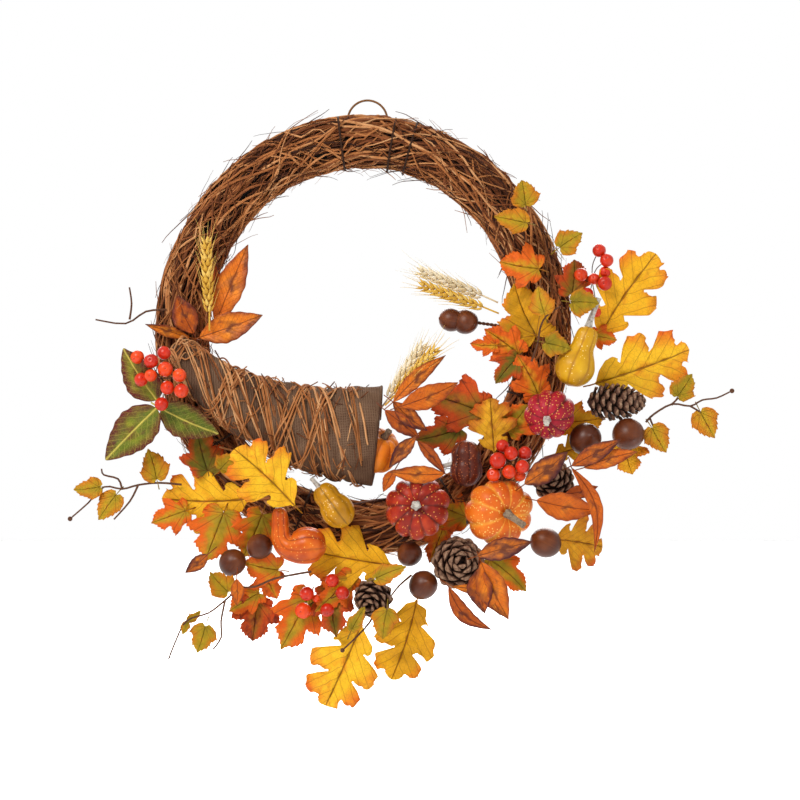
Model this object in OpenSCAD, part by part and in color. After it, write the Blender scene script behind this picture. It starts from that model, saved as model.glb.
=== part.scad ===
// Harvest door wreath: a ring of bound vines that carries a cornucopia, small pumpkins, gourds,
// pinecones, nuts, berries, wheat and autumn leaves, and hangs from a wire loop.
// Millimetres. +Z is up, +X is right as seen from the front, and +Y points into the door.
// The origin is the top of the hanger loop's inside, where a hook touches it.

/* [Vine ring] */
// Half width of the ring, to the middle of the vines
ring_rx = 181; // [179:0.5:182]
// Half height of the ring, to the middle of the vines
ring_rz = 193; // [191:0.5:193]
// Radius of the bundle of vines
vine_r = 26; // [25:0.1:26]
// How far the middle of the vines stands in front of the door side of the loop
ring_depth = 18; // [17.5:0.1:18]

/* [Hanger] */
// Diameter of the paper-wrapped wire
hanger_wire_d = 2.2; // [1.8:0.1:2.4]
// Radius of the loop, to the middle of its wire
hanger_r = 20; // [19.8:0.1:20.2]
// Height of the loop's straight legs
hanger_leg = 3.5; // [3.2:0.1:3.8]
// Clearance round the loop's bar in its sleeve
hanger_gap = 0.05; // [0.02:0.01:0.09]

/* [Cornucopia] */
// Thickness of the burlap wall
horn_wall = 2; // [1.6:0.1:2.4]
// Depth of the horn as a share of its height
horn_flat = 0.8; // [0.79:0.01:0.82]

/* [Leaves] */
// Thickness of a leaf's blade
leaf_t = 0.6; // [0.5:0.1:0.8]
// Diameter of a leaf's stalk
stalk_d = 1.4; // [1.2:0.1:1.4]
// Length of stalk below a blade
stalk_l = 9; // [6:1:10]

/* [Berries] */
// Radius of a usual berry
berry_r = 6.4; // [5.8:0.1:6.4]

/* [Hidden] */
$fn = 48;

// The ring's middle
ring_c = [-4, -ring_depth, -236];

// ---- Shared functions ----

function unit(v) = v / norm(v);

// A ring of points round p, across direction t, with half sizes r[0] in the wreath's plane
// and r[1] towards the door
function cross_ring(p, t, r, sides) =
    let (n = unit(cross(t, [0, 1, 0])), b = unit(cross(n, t)))
    [for (k = [0 : sides - 1])
        let (a = 360 * k / sides) p + r[0] * cos(a) * n + r[1] * sin(a) * b];

// The direction of a path at its point i
function along(path, i) =
    unit(path[min(i + 1, len(path) - 1)] - path[max(i - 1, 0)]);

// A closed skin over a list of point rings, with a flat cap at each end
module skin(rings) {
    n = len(rings[0]);
    last = len(rings) - 1;
    walls = [for (i = [0 : last - 1], k = [0 : n - 1])
        [i * n + k, i * n + (k + 1) % n, (i + 1) * n + (k + 1) % n, (i + 1) * n + k]];
    caps = [[for (k = [n - 1 : -1 : 0]) k], [for (k = [0 : n - 1]) last * n + k]];
    polyhedron([for (r = rings, p = r) p], concat(walls, caps), convexity = 8);
}

// A closed skin over rings that come back to the first one
module skin_loop(rings) {
    n = len(rings[0]);
    m = len(rings);
    walls = [for (i = [0 : m - 1], k = [0 : n - 1])
        [i * n + k, i * n + (k + 1) % n, ((i + 1) % m) * n + (k + 1) % n, ((i + 1) % m) * n + k]];
    polyhedron([for (r = rings, p = r) p], walls, convexity = 8);
}

// A tapering tube along a path, thinner by the share taper at its far end
module tube(path, r, taper = 0.4, sides = 8) {
    last = len(path) - 1;
    skin([for (i = [0 : last])
        cross_ring(path[i], along(path, i), [1, 1] * r * (1 - taper * i / last), sides)]);
}

// A point of a smooth curve through four points, t from the second to the third
function smooth(a, b, c, d, t) =
    0.5 * (2 * b + (c - a) * t + (2 * a - 5 * b + 4 * c - d) * t * t
        + (3 * b - a - 3 * c + d) * t * t * t);

// A path made smooth, with n steps between each two of its points
function smooth_path(p, n = 3) =
    let (last = len(p) - 1)
    concat([for (i = [0 : last - 1], j = [0 : n - 1])
        smooth(p[max(i - 1, 0)], p[i], p[i + 1], p[min(i + 2, last)], j / n)], [p[last]]);

// The ring's centreline at an angle from +X
function ring_at(a) = ring_c + [ring_rx * cos(a), 0, ring_rz * sin(a)];
function ring_dir(a) = unit([-ring_rx * sin(a), 0, ring_rz * cos(a)]);

// ---- The ring and its hanger ----

module vine_ring() {
    steps = 72;
    sides = 14;
    color("#8a5a33")
        skin_loop([for (i = [0 : steps - 1]) let (a = 360 * i / steps)
            cross_ring(ring_at(a), ring_dir(a), [vine_r, vine_r], sides)]);
}

// Where the wires go round the ring, as angles from +X
binding_angles = [75, 81, 97, 215, 250, 300, 340];
binding_wire_d = 2.2;

module ring_binding_wires() {
    color("#3b2415")
        for (a = binding_angles)
            translate(ring_at(a))
                rotate([0, -atan2(ring_dir(a)[2], ring_dir(a)[0]), 0])
                    rotate([0, 90, 0])
                        rotate_extrude()
                            translate([vine_r + 0.6, 0])
                                circle(d = binding_wire_d, $fn = 24);
}

// The loop's bar, below the origin: its wire runs along X
hanger_top = hanger_wire_d / 2;
bar_z = hanger_top - hanger_r - hanger_leg;

module hanger_loop() {
    color("#8b6239") {
        translate([0, 0, hanger_top - hanger_r])
            rotate([90, 0, 0])
                rotate_extrude(angle = 180)
                    translate([hanger_r, 0])
                        circle(d = hanger_wire_d);
        for (side = [-1, 1])
            translate([side * hanger_r, 0, bar_z])
                cylinder(d = hanger_wire_d, h = hanger_leg);
        for (side = [-1, 1])
            translate([side * hanger_r, 0, bar_z])
                sphere(d = hanger_wire_d);
        translate([-hanger_r, 0, bar_z])
            rotate([0, 90, 0])
                cylinder(d = hanger_wire_d, h = 2 * hanger_r);
    }
}

eye_d = 5;
eye_l = 24;
eye_bore = hanger_wire_d + 2 * hanger_gap;

module hanger_eye() {
    foot_y = 6;
    foot_z = 8;
    color("#3b2415")
        difference() {
            union() {
                translate([-eye_l / 2, 0, bar_z])
                    rotate([0, 90, 0])
                        cylinder(d = eye_d, h = eye_l);
                translate([-eye_l / 2, -foot_y, bar_z - foot_z])
                    cube([eye_l, foot_y, foot_z]);
            }
            translate([-eye_l, 0, bar_z])
                rotate([0, 90, 0])
                    cylinder(d = eye_bore, h = 2 * eye_l);
        }
}

// ---- The cornucopia ----

// The horn from its mouth to its tail: middle, and half height there
horn_keys = [
    [12, -42, -338, 50], [-45, -44, -333, 43], [-100, -52, -315, 33], [-145, -60, -292, 26],
    [-190, -57, -248, 11]
];
horn_stations = smooth_path(horn_keys);
horn_path = [for (s = horn_stations) [s[0], s[1], s[2]]];
horn_half = [for (s = horn_stations) s[3]];
horn_sides = 28;
horn_inner_end = 10;
horn_seams = [4, 8];
seam_gap = 0.1;

// A ring of the horn at station i, a gap inside its outer face and a little further along
function horn_ring(i, gap, further = 0) =
    cross_ring(horn_path[i] + further * along(horn_path, i), along(horn_path, i),
        [horn_half[i] - gap, horn_flat * horn_half[i] - gap], horn_sides);

// A band of burlap between two stations, open at both ends
module horn_band(first, last, further = 0) {
    color("#4b3527")
        skin_loop(concat(
            [for (i = [last : -1 : first]) horn_ring(i, horn_wall, i == first ? further : 0)],
            [for (i = [first : last]) horn_ring(i, 0, i == first ? further : 0)]));
}

module horn_mouth_band() { horn_band(0, horn_seams[0]); }
module horn_middle_band() { horn_band(horn_seams[0], horn_seams[1], seam_gap); }

module horn_tail() {
    first = horn_seams[1];
    last = len(horn_path) - 1;
    color("#4b3527")
        skin(concat(
            [for (i = [horn_inner_end : -1 : first]) horn_ring(i, horn_wall, i == first ? seam_gap : 0)],
            [for (i = [first : last]) horn_ring(i, 0, i == first ? seam_gap : 0)]));
}

module horn_rim_wire() {
    rim_d = 3;
    sides = 48;
    t = -along(horn_path, 0);
    n = unit(cross(t, [0, 1, 0]));
    b = unit(cross(n, t));
    half = horn_half[0] - horn_wall / 2;
    color("#5d3c26")
        skin_loop([for (k = [0 : sides - 1])
            let (a = 360 * k / sides,
                out = half * (cos(a) * n + horn_flat * sin(a) * b),
                p = horn_path[0] + (rim_d / 2 + 0.1) * t + out)
            [for (j = [0 : 7]) p + rim_d / 2 * (cos(45 * j) * t + sin(45 * j) * unit(out))]]);
}

// Vines wound round the horn, each a helix that stands just off the burlap
module horn_vine_wrap() {
    turns = 4;
    steps = 40;
    wrap_r = 2;
    spare = 0.6;
    first = 1.4;
    span = 8.2;
    color("#9a6234")
        for (start = [0, 180])
            tube([for (k = [0 : turns * steps])
                let (s = first + span * k / (turns * steps), i = floor(s), f = s - i,
                    p = horn_path[i] * (1 - f) + horn_path[i + 1] * f,
                    h = horn_half[i] * (1 - f) + horn_half[i + 1] * f + wrap_r + spare,
                    t = along(horn_path, i) * (1 - f) + along(horn_path, i + 1) * f,
                    n = unit(cross(t, [0, 1, 0])), b = unit(cross(n, t)),
                    a = start + 360 * k / steps)
                p + h * cos(a) * n + (horn_flat * (h - wrap_r - spare) + wrap_r + spare) * sin(a) * b],
                wrap_r, 0.3, 6);
}

// ---- Fruit ----

// Turns +Z to the direction d and moves it to p
module aim(p, d) {
    translate(p)
        rotate([0, acos(d[2] / norm(d)), atan2(d[1], d[0])])
            children();
}

// A closed round body about its own axis: radius r, half height h, wider below by the share low
module ovoid(r, h, low = 0) {
    steps = 14;
    rotate_extrude()
        polygon([for (i = [0 : steps])
            let (a = 180 * i / steps) [r * sin(a) * (1 - low * cos(a)), h * cos(a)]]);
}

// A pumpkin's place, its axis towards the crown, its radius and its half height
pumpkins = [
    [[130, -78, -412], [4, -14, 0], 34, 27],
    [[50, -78, -408], [-1, -14, 2], 32, 27],
    [[180, -76, -316], [-3, -14, -4], 25, 22],
    [[10, -52, -352], [6, -8, 11], 24, 20]
];

module pumpkin(i) {
    q = pumpkins[i];
    aim(q[0], q[1]) ovoid(q[2], q[3]);
}

// A stem from p along d: radius r at the foot, and a little less at the cut end
module stem(p, d, r) {
    aim(p, d) {
        cylinder(h = norm(d), r1 = r, r2 = 0.75 * r);
        translate([0, 0, norm(d)]) cylinder(h = 1.2, r = 0.9 * r);
    }
}

// A stem on a pumpkin's crown, along the pumpkin's own axis unless d says otherwise
module pumpkin_stem(i, l, r, d = undef) {
    q = pumpkins[i];
    n = unit(q[1]);
    stem(q[0] + (q[3] - 3) * n, is_undef(d) ? l * n : d, r);
}

module pumpkin_orange() { color("#e0761c") pumpkin(0); }
module pumpkin_red() { color("#c8401c") pumpkin(1); }
module pumpkin_crimson() { color("#a8242c") pumpkin(2); }
module pumpkin_horn() { color("#e2711d") pumpkin(3); }
module pumpkin_orange_stem() { color("#8d8478") pumpkin_stem(0, 20, 4.5, [14, -12, -10]); }
module pumpkin_red_stem() { color("#a9a49c") pumpkin_stem(1, 11, 4.5); }
module pumpkin_crimson_stem() { color("#a9a49c") pumpkin_stem(2, 11, 4); }
module pumpkin_horn_stem() { color("#3a2a20") pumpkin_stem(3, 9, 4.5); }

bottle_body = [205, -72, -270];
bottle_neck = [216, -72, -240];
squat_small = [-40, -64, -396];
crook_top = [-86, -74, -414];
crook_bend = [-84, -74, -446];
rust_top = [98, -62, -356];

// One faceted round lobe of a gourd
module lobe(p, r) {
    translate(p)
        hull()
            sphere(r = r, $fn = 28);
}

module gourd_bottle() {
    color("#e5b92e") {
        hull($fn = 24) {
            translate(bottle_body) sphere(r = 17, $fn = 24);
            translate(bottle_neck) sphere(r = 9, $fn = 24);
        }
        lobe(bottle_body, 20);
        lobe(bottle_neck, 11.5);
    }
}

module gourd_crookneck() {
    color("#d9781f") {
        hull() {
            translate(crook_top) sphere(r = 7.5, $fn = 24);
            translate(crook_bend) sphere(r = 10, $fn = 24);
        }
        hull() {
            translate(crook_bend) sphere(r = 10, $fn = 24);
            translate([-58, -74, -446]) sphere(r = 19, $fn = 24);
        }
    }
}

module gourd_squat() {
    color("#b3a53a") {
        lobe(squat_small, 13);
        lobe([-28, -66, -412], 17);
    }
}

module gourd_rust() {
    color("#7a3b1e") {
        lobe(rust_top, 15);
        lobe([98, -62, -372], 16.5);
    }
}

module gourd_stems() {
    color("#a9a49c") {
        stem(bottle_neck + [2, 0, 10], [7, -2, 28], 3.5);
        stem(crook_top + [0, 0, 5], [1, -2, 16], 3.2);
        stem(squat_small + [-7, -4, 8], [-7, -4, 8], 3);
        stem(rust_top + [-11, -2, -8], [-11, -4, -3], 3);
    }
}

module pinecone(p, d, r, h, low) {
    color("#5a4030") aim(p, d) ovoid(r, h, low);
}

module pinecone_front() { pinecone([90, -70, -462], [2, -14, 1], 23, 22, 0.15); }
module pinecone_right() { pinecone([184, -68, -382], [-3, -12, 5], 18, 18, 0.15); }
module pinecone_long() { pinecone([244, -62, -304], [10, -2, 0], 16, 31, 0.2); }
module pinecone_lower() { pinecone([6, -58, -498], [-4, -12, -6], 17, 18, 0.15); }

// Nuts: place, direction of the point, radius
module nut(p, d, r) {
    color("#8a4a22") aim(p, d) ovoid(r, 1.12 * r, 0.1);
}

module nuts_twin() {
    color("#8a4a22") {
        lobe([84, -40, -222], 12.5);
        lobe([98, -42, -224], 13);
    }
    color("#5d3c26") stem([110, -41, -225], [50, 8, -7], 0.9);
}
module nuts_right() {
    nut([216, -66, -340], [3, -10, 2], 15.5);
    nut([258, -68, -336], [2, -10, -3], 15.5);
}
module nut_corner() { nut([176, -70, -442], [-14, -6, 7], 14); }
module nuts_middle() {
    nut([56, -68, -484], [3, -10, 3], 14);
    nut([42, -58, -454], [-3, -10, 3], 12);
}
module nuts_left() {
    nut([-132, -66, -462], [4, -10, 3], 13);
    nut([-106, -68, -446], [-4, -10, 4], 12);
}

// A cluster of berries round the point mid. Each one is [across, up, forward, share of the usual size]
module berries(mid, list) {
    color("#c8381c")
        for (b = list)
            translate(mid + [b[0], -b[2], b[1]]) sphere(r = berry_r * b[3], $fn = 24);
}

module berries_left() {
    berries([-202, -88, -278], [
        [-22, 18, 0, 1], [-8, 14, 6, 1.05], [4, 22, 0, 1], [6, 6, 8, 1.1], [20, 0, 10, 1],
        [-18, -4, 2, 1], [-8, 0, 10, 0.9], [8, -12, 8, 1], [22, -15, 12, 1.05], [2, -28, 4, 1]
    ]);
}
module berries_top() {
    berries([225, -56, -182], [
        [5, 28, 0, 1], [12, 18, 6, 1], [-13, 4, 0, 1], [10, -5, 8, 1.05], [11, 7, 0, 0.85],
        [0, 0, 0, 0.85], [-7, -15, 4, 0.9], [2, -33, 0, 0.75]
    ]);
}
module berries_centre() {
    berries([140, -88, -362], [
        [-7, 15, 0, 0.95], [1, 8, 7, 1], [15, 8, 0, 1], [-12, 1, 9, 1.2], [12, -5, 8, 1],
        [10, -14, 0, 0.85], [-1, -10, 9, 1], [-16, -13, 3, 1]
    ]);
}
module berries_lower() {
    berries([-44, -62, -496], [
        [10, 16, 4, 1], [-15, 3, 5, 1.05], [20, 4, 8, 1], [5, -13, 5, 1], [-19, -14, 0, 1.2],
        [-6, -2, 0, 0.6]
    ]);
}

// ---- Wheat ----

// An ear of wheat and its stalk: foot, direction in degrees from +X, length and thickness
module wheat_ear(p, a, l, w) {
    stalk_r = 0.9;
    color("#d8b46a")
        translate(p)
            rotate([0, 90 - a, 0]) {
                translate([0, 0, -18]) cylinder(r = stalk_r, h = 24);
                translate([0, 0, l / 2]) ovoid(w / 2, l / 2, 0.2);
            }
}

module wheat_left() { wheat_ear([-156, -64, -216], 92, 76, 12); }
module wheat_top() {
    wheat_ear([114, -34, -198], 158, 70, 13);
    wheat_ear([114, -50, -210], 160, 68, 12);
}
module wheat_mouth() {
    wheat_ear([22, -64, -298], 56, 64, 13);
    wheat_ear([30, -80, -294], 48, 60, 12);
}

// ---- Leaves ----

// Half outlines, from the stalk to the tip: distance along the blade and half width, both 0 to 1
oak_half = [
    [0, 0.06], [0.1, 0.12], [0.14, 0.5], [0.27, 0.6], [0.32, 0.3], [0.4, 0.86], [0.54, 1],
    [0.6, 0.4], [0.68, 0.74], [0.82, 0.7], [0.85, 0.34], [0.95, 0.36], [1, 0.08]
];
maple_half = [
    [0, 0.08], [-0.06, 0.36], [0.04, 0.6], [0.14, 0.62], [0.26, 0.94], [0.4, 1], [0.5, 0.82],
    [0.54, 0.56], [0.66, 0.58], [0.82, 0.44], [0.88, 0.22], [1, 0.03]
];
ivy_half = [
    [0, 0.08], [-0.02, 0.5], [0.16, 0.92], [0.36, 1], [0.48, 0.66], [0.64, 0.6], [0.82, 0.36],
    [1, 0.05]
];
lance_half = [for (i = [0 : 8]) [i / 8, max(0.08, sin(180 * pow(i / 8, 0.85)))]];
laurel_half = [for (i = [0 : 8]) [i / 8, max(0.08, sin(180 * pow(i / 8, 0.7)))]];

// A flat blade on a stalk that runs a third of the way up its back.
// Each leaf is [x and z of its foot, x and z of its tip, width]; y is the blade's middle.
// A sixth value brings one leaf that much further forward, or back if it is negative.
module leaf(half, row, y) {
    reach = [row[2] - row[0], row[3] - row[1]];
    l = norm(reach);
    outline = concat(
        [for (h = half) [h[0] * l, h[1] * row[4] / 2]],
        [for (i = [len(half) - 1 : -1 : 0]) [half[i][0] * l, -half[i][1] * row[4] / 2]]);
    translate([row[0], y, row[1]])
        rotate([0, -atan2(reach[1], reach[0]), 0]) {
            rotate([90, 0, 0])
                linear_extrude(leaf_t, center = true)
                    polygon(outline);
            translate([-stalk_l, 0, 0])
                rotate([0, 90, 0])
                    cylinder(d = stalk_d, h = stalk_l + l / 3, $fn = 16);
        }
}

// A group of leaves that lie one in front of another, starting at y
leaf_step = stalk_d + 0.1;
module leaves(half, rows, y) {
    for (i = [0 : len(rows) - 1])
        leaf(half, rows[i], y - leaf_step * i - (len(rows[i]) > 5 ? rows[i][5] : 0));
}

module oak_leaves_right() {
    color("#d79a2b")
        leaves(oak_half, [
            [230, -240, 286, -156, 72],
            [226, -286, 320, -252, 74]
        ], -44);
}
module oak_leaves_centre() {
    color("#c98a2a")
        leaves(oak_half, [
            [126, -354, 122, -300, 52, 10.6],
            [186, -440, 234, -448, 60],
            [186, -356, 226, -342, 34]
        ], -44);
}
module oak_leaves_left() {
    color("#d79a2b")
        leaves(oak_half, [
            [-116, -400, -204, -400, 68],
            [-70, -406, -130, -348, 68, 36],
            [24, -466, -62, -450, 70]
        ], -46);
}
module oak_leaves_bottom() {
    color("#d79a2b")
        leaves(oak_half, [
            [-6, -526, -42, -606, 72],
            [50, -500, 24, -580, 64]
        ], -38);
}

module maple_leaves_top() {
    color("#d9691e")
        leaves(maple_half, [
            [204, -196, 206, -162, 42],
            [168, -238, 146, -186, 66],
            [170, -296, 148, -256, 46],
            [150, -256, 116, -232, 46],
            [170, -172, 132, -164, 48],
            [150, -260, 128, -286, 34],
            [128, -248, 102, -246, 22]
        ], -47);
}
module maple_leaves_centre() {
    color("#cf6420")
        leaves(maple_half, [
            [98, -418, 60, -400, 48],
            [76, -428, 62, -464, 36],
            [140, -332, 160, -306, 46],
            [92, -330, 46, -342, 42],
            [114, -314, 58, -296, 62]
        ], -47);
}
module maple_leaves_right() {
    color("#c95f22")
        leaves(maple_half, [
            [256, -346, 264, -376, 46],
            [196, -324, 238, -320, 44, -8],
            [224, -238, 248, -242, 28],
            [122, -460, 158, -492, 40]
        ], -48);
}
module maple_leaves_left() {
    color("#d9691e")
        leaves(maple_half, [
            [-158, -372, -168, -330, 50],
            [-180, -412, -214, -424, 40],
            [-142, -414, -160, -462, 62],
            [-104, -416, -122, -458, 52],
            [-88, -470, -122, -462, 42]
        ], -49);
}
module maple_leaves_bottom() {
    color("#c9681f")
        leaves(maple_half, [
            [-110, -502, -114, -542, 50],
            [-108, -494, -138, -512, 34],
            [-102, -470, -90, -500, 38],
            [-58, -498, -86, -550, 58],
            [-36, -490, -30, -538, 46],
            [-16, -478, -52, -512, 40, 3]
        ], -42);
}

module lance_leaves_left() {
    color("#c9702c")
        leaves(lance_half, [
            [-176, -240, -220, -226, 12],
            [-150, -220, -152, -162, 14],
            [-172, -236, -188, -198, 26],
            [-150, -226, -118, -148, 30],
            [-166, -240, -102, -218, 30]
        ], -48);
}
module lance_leaves_mouth() {
    color("#c9702c")
        leaves(lance_half, [
            [50, -342, 78, -374, 12],
            [28, -370, 16, -392, 12],
            [18, -312, 52, -340, 18],
            [26, -304, 60, -332, 18],
            [26, -304, 78, -258, 16],
            [34, -308, 90, -286, 24],
            [48, -338, 22, -368, 15],
            [76, -374, 22, -372, 18]
        ], -84);
}
module lance_leaves_right() {
    color("#c9702c")
        leaves(lance_half, [
            [194, -394, 226, -386, 14],
            [166, -400, 226, -410, 28],
            [200, -368, 222, -450, 14],
            [212, -368, 264, -352, 18],
            [200, -366, 248, -340, 18],
            [154, -384, 196, -352, 24]
        ], -92);
}
module lance_leaves_bottom() {
    color("#c9702c")
        leaves(lance_half, [
            [84, -484, 130, -512, 12],
            [80, -484, 122, -526, 16],
            [110, -466, 114, -510, 26],
            [112, -460, 138, -516, 30],
            [108, -454, 162, -440, 22],
            [-126, -476, -126, -502, 14],
            [-154, -452, -176, -470, 14]
        ], -94);
}
module laurel_leaves() {
    color("#5d6b2c")
        leaves(laurel_half, [
            [-206, -302, -238, -250, 36],
            [-202, -310, -146, -336, 36],
            [-206, -310, -256, -360, 42]
        ], -76);
}

module ivy_leaves_left() {
    color("#9a9636")
        leaves(ivy_half, [
            [-208, -380, -216, -350, 32],
            [-264, -388, -290, -390, 24],
            [-248, -396, -266, -420, 28],
            [-144, -370, -130, -356, 26]
        ], -58);
}
module ivy_leaves_lower() {
    color("#9a9636")
        leaves(ivy_half, [
            [-136, -490, -154, -470, 30],
            [-158, -524, -166, -550, 30],
            [-174, -518, -162, -508, 10],
            [-176, -520, -180, -532, 10],
            [20, -508, 16, -536, 30],
            [-14, -526, -2, -504, 18],
            [10, -476, 40, -464, 22]
        ], -80);
}
module ivy_leaves_right() {
    color("#9a9636")
        leaves(ivy_half, [
            [308, -298, 322, -276, 28],
            [330, -314, 344, -340, 30],
            [282, -330, 296, -354, 30]
        ], -58);
}
module ivy_leaves_top() {
    color("#9a9636")
        leaves(ivy_half, [
            [156, -110, 152, -86, 32],
            [156, -128, 124, -122, 28],
            [190, -152, 212, -138, 30],
            [202, -206, 228, -208, 32],
            [174, -216, 168, -190, 28],
            [176, -246, 200, -252, 28]
        ], -76);
}

// ---- Tendrils: thin wires in brown paper, with a bud at some ends ----

tendril_r = 1.1;

module tendril(path, bud = 0) {
    color("#5d3c26") {
        last = len(path) - 1;
        tube(smooth_path(path), tendril_r, 0.3);
        if (bud > 0)
            translate(path[last] + (bud + 0.1) * unit(path[last] - path[last - 1]))
                sphere(r = bud, $fn = 24);
    }
}

module tendrils_left() {
    tendril([[-184, -50, -386], [-206, -56, -384], [-226, -60, -386], [-242, -60, -390],
        [-260, -58, -388], [-276, -56, -404], [-292, -56, -418]], 2.4);
    tendril([[-242, -60, -390], [-246, -60, -380], [-260, -60, -376], [-262, -62, -370]]);
    tendril([[-226, -60, -386], [-234, -62, -402], [-250, -60, -420]]);
    tendril([[-200, -40, -212], [-220, -44, -214], [-240, -46, -226], [-270, -44, -222]]);
    tendril([[-236, -46, -222], [-234, -46, -206], [-236, -48, -190]]);
}
module tendrils_lower() {
    tendril([[-54, -84, -470], [-88, -90, -476], [-108, -92, -484], [-124, -90, -486],
        [-136, -88, -496], [-154, -88, -510], [-176, -86, -518], [-186, -84, -536],
        [-194, -82, -556]]);
    tendril([[-138, -91, -498], [-142, -90, -518], [-142, -88, -534], [-150, -88, -546]]);
    tendril([[8, -84, -512], [-2, -84, -526], [-22, -80, -546]], 2.2);
    tendril([[44, -76, -474], [32, -82, -484], [24, -84, -494]]);
}
module tendrils_right() {
    tendril([[276, -58, -324], [284, -58, -316], [302, -58, -306], [320, -58, -308],
        [332, -58, -302], [346, -58, -300], [359, -58, -294]], 2.4);
    tendril([[302, -58, -306], [308, -60, -300]]);
    tendril([[320, -58, -308], [330, -60, -314]]);
    tendril([[280, -58, -320], [284, -59, -330]]);
}
module tendrils_top() {
    tendril([[162, -76, -264], [168, -80, -246], [170, -82, -232], [176, -82, -220],
        [190, -80, -210]]);
}

// ---- Every piece ----

vine_ring();
ring_binding_wires();
hanger_loop();
hanger_eye();
horn_mouth_band();
horn_middle_band();
horn_tail();
horn_rim_wire();
horn_vine_wrap();
pumpkin_orange();
pumpkin_red();
pumpkin_crimson();
pumpkin_horn();
pumpkin_orange_stem();
pumpkin_red_stem();
pumpkin_crimson_stem();
pumpkin_horn_stem();
gourd_bottle();
gourd_crookneck();
gourd_squat();
gourd_rust();
gourd_stems();
pinecone_front();
pinecone_right();
pinecone_long();
pinecone_lower();
nuts_twin();
nuts_right();
nut_corner();
nuts_middle();
nuts_left();
berries_left();
berries_top();
berries_centre();
berries_lower();
wheat_left();
wheat_top();
wheat_mouth();
oak_leaves_right();
oak_leaves_centre();
oak_leaves_left();
oak_leaves_bottom();
maple_leaves_top();
maple_leaves_centre();
maple_leaves_right();
maple_leaves_left();
maple_leaves_bottom();
lance_leaves_left();
lance_leaves_mouth();
lance_leaves_right();
lance_leaves_bottom();
laurel_leaves();
ivy_leaves_left();
ivy_leaves_lower();
ivy_leaves_right();
ivy_leaves_top();
tendrils_left();
tendrils_lower();
tendrils_right();
tendrils_top();
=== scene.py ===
"""The looks of the harvest door wreath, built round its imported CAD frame. Lengths are in metres."""
import math

import bmesh
import bpy
import numpy as np
from mathutils import Matrix, Vector


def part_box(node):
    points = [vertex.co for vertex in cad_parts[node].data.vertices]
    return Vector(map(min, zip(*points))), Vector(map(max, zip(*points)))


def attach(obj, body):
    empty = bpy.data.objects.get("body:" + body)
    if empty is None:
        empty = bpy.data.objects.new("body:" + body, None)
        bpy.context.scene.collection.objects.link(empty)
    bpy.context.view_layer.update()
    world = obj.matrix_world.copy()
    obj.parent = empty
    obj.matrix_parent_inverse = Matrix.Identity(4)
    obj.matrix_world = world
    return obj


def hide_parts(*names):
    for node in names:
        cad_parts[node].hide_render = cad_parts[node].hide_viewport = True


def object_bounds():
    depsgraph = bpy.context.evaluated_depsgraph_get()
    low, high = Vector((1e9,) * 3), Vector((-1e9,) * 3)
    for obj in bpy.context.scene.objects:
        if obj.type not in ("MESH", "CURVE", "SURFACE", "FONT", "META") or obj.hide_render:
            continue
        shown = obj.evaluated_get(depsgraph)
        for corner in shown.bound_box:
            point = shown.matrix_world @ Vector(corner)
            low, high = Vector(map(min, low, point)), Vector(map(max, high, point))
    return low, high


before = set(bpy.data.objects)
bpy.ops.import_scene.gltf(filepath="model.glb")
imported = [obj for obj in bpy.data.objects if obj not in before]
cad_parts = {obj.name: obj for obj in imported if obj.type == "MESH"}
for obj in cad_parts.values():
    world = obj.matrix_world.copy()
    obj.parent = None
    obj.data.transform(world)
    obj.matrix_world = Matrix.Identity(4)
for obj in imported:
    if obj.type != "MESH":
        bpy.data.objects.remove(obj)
cad_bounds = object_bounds()

SEED = 7
GOLDEN_ANGLE = 2.39996
GRAIN_LENGTH = 0.01
CLOTH_THICKNESS = 0.0004
# How far stray ends and awns may stand past the CAD's own box
STRAY_LIMIT = 0.004


# ---- Camera, light and floor ----

def look_at(obj, target):
    """Turns an object's -Z axis to a point, with +Z of the world up."""
    away = Vector(target) - obj.location
    obj.rotation_euler = away.to_track_quat("-Z", "Y").to_euler()


def add_light(name, place, target, size, power, colour):
    data = bpy.data.lights.new(name, "AREA")
    data.shape = "DISK"
    data.size = size
    data.energy = power
    data.color = colour
    obj = bpy.data.objects.new(name, data)
    obj.location = place
    bpy.context.scene.collection.objects.link(obj)
    look_at(obj, target)


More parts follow.
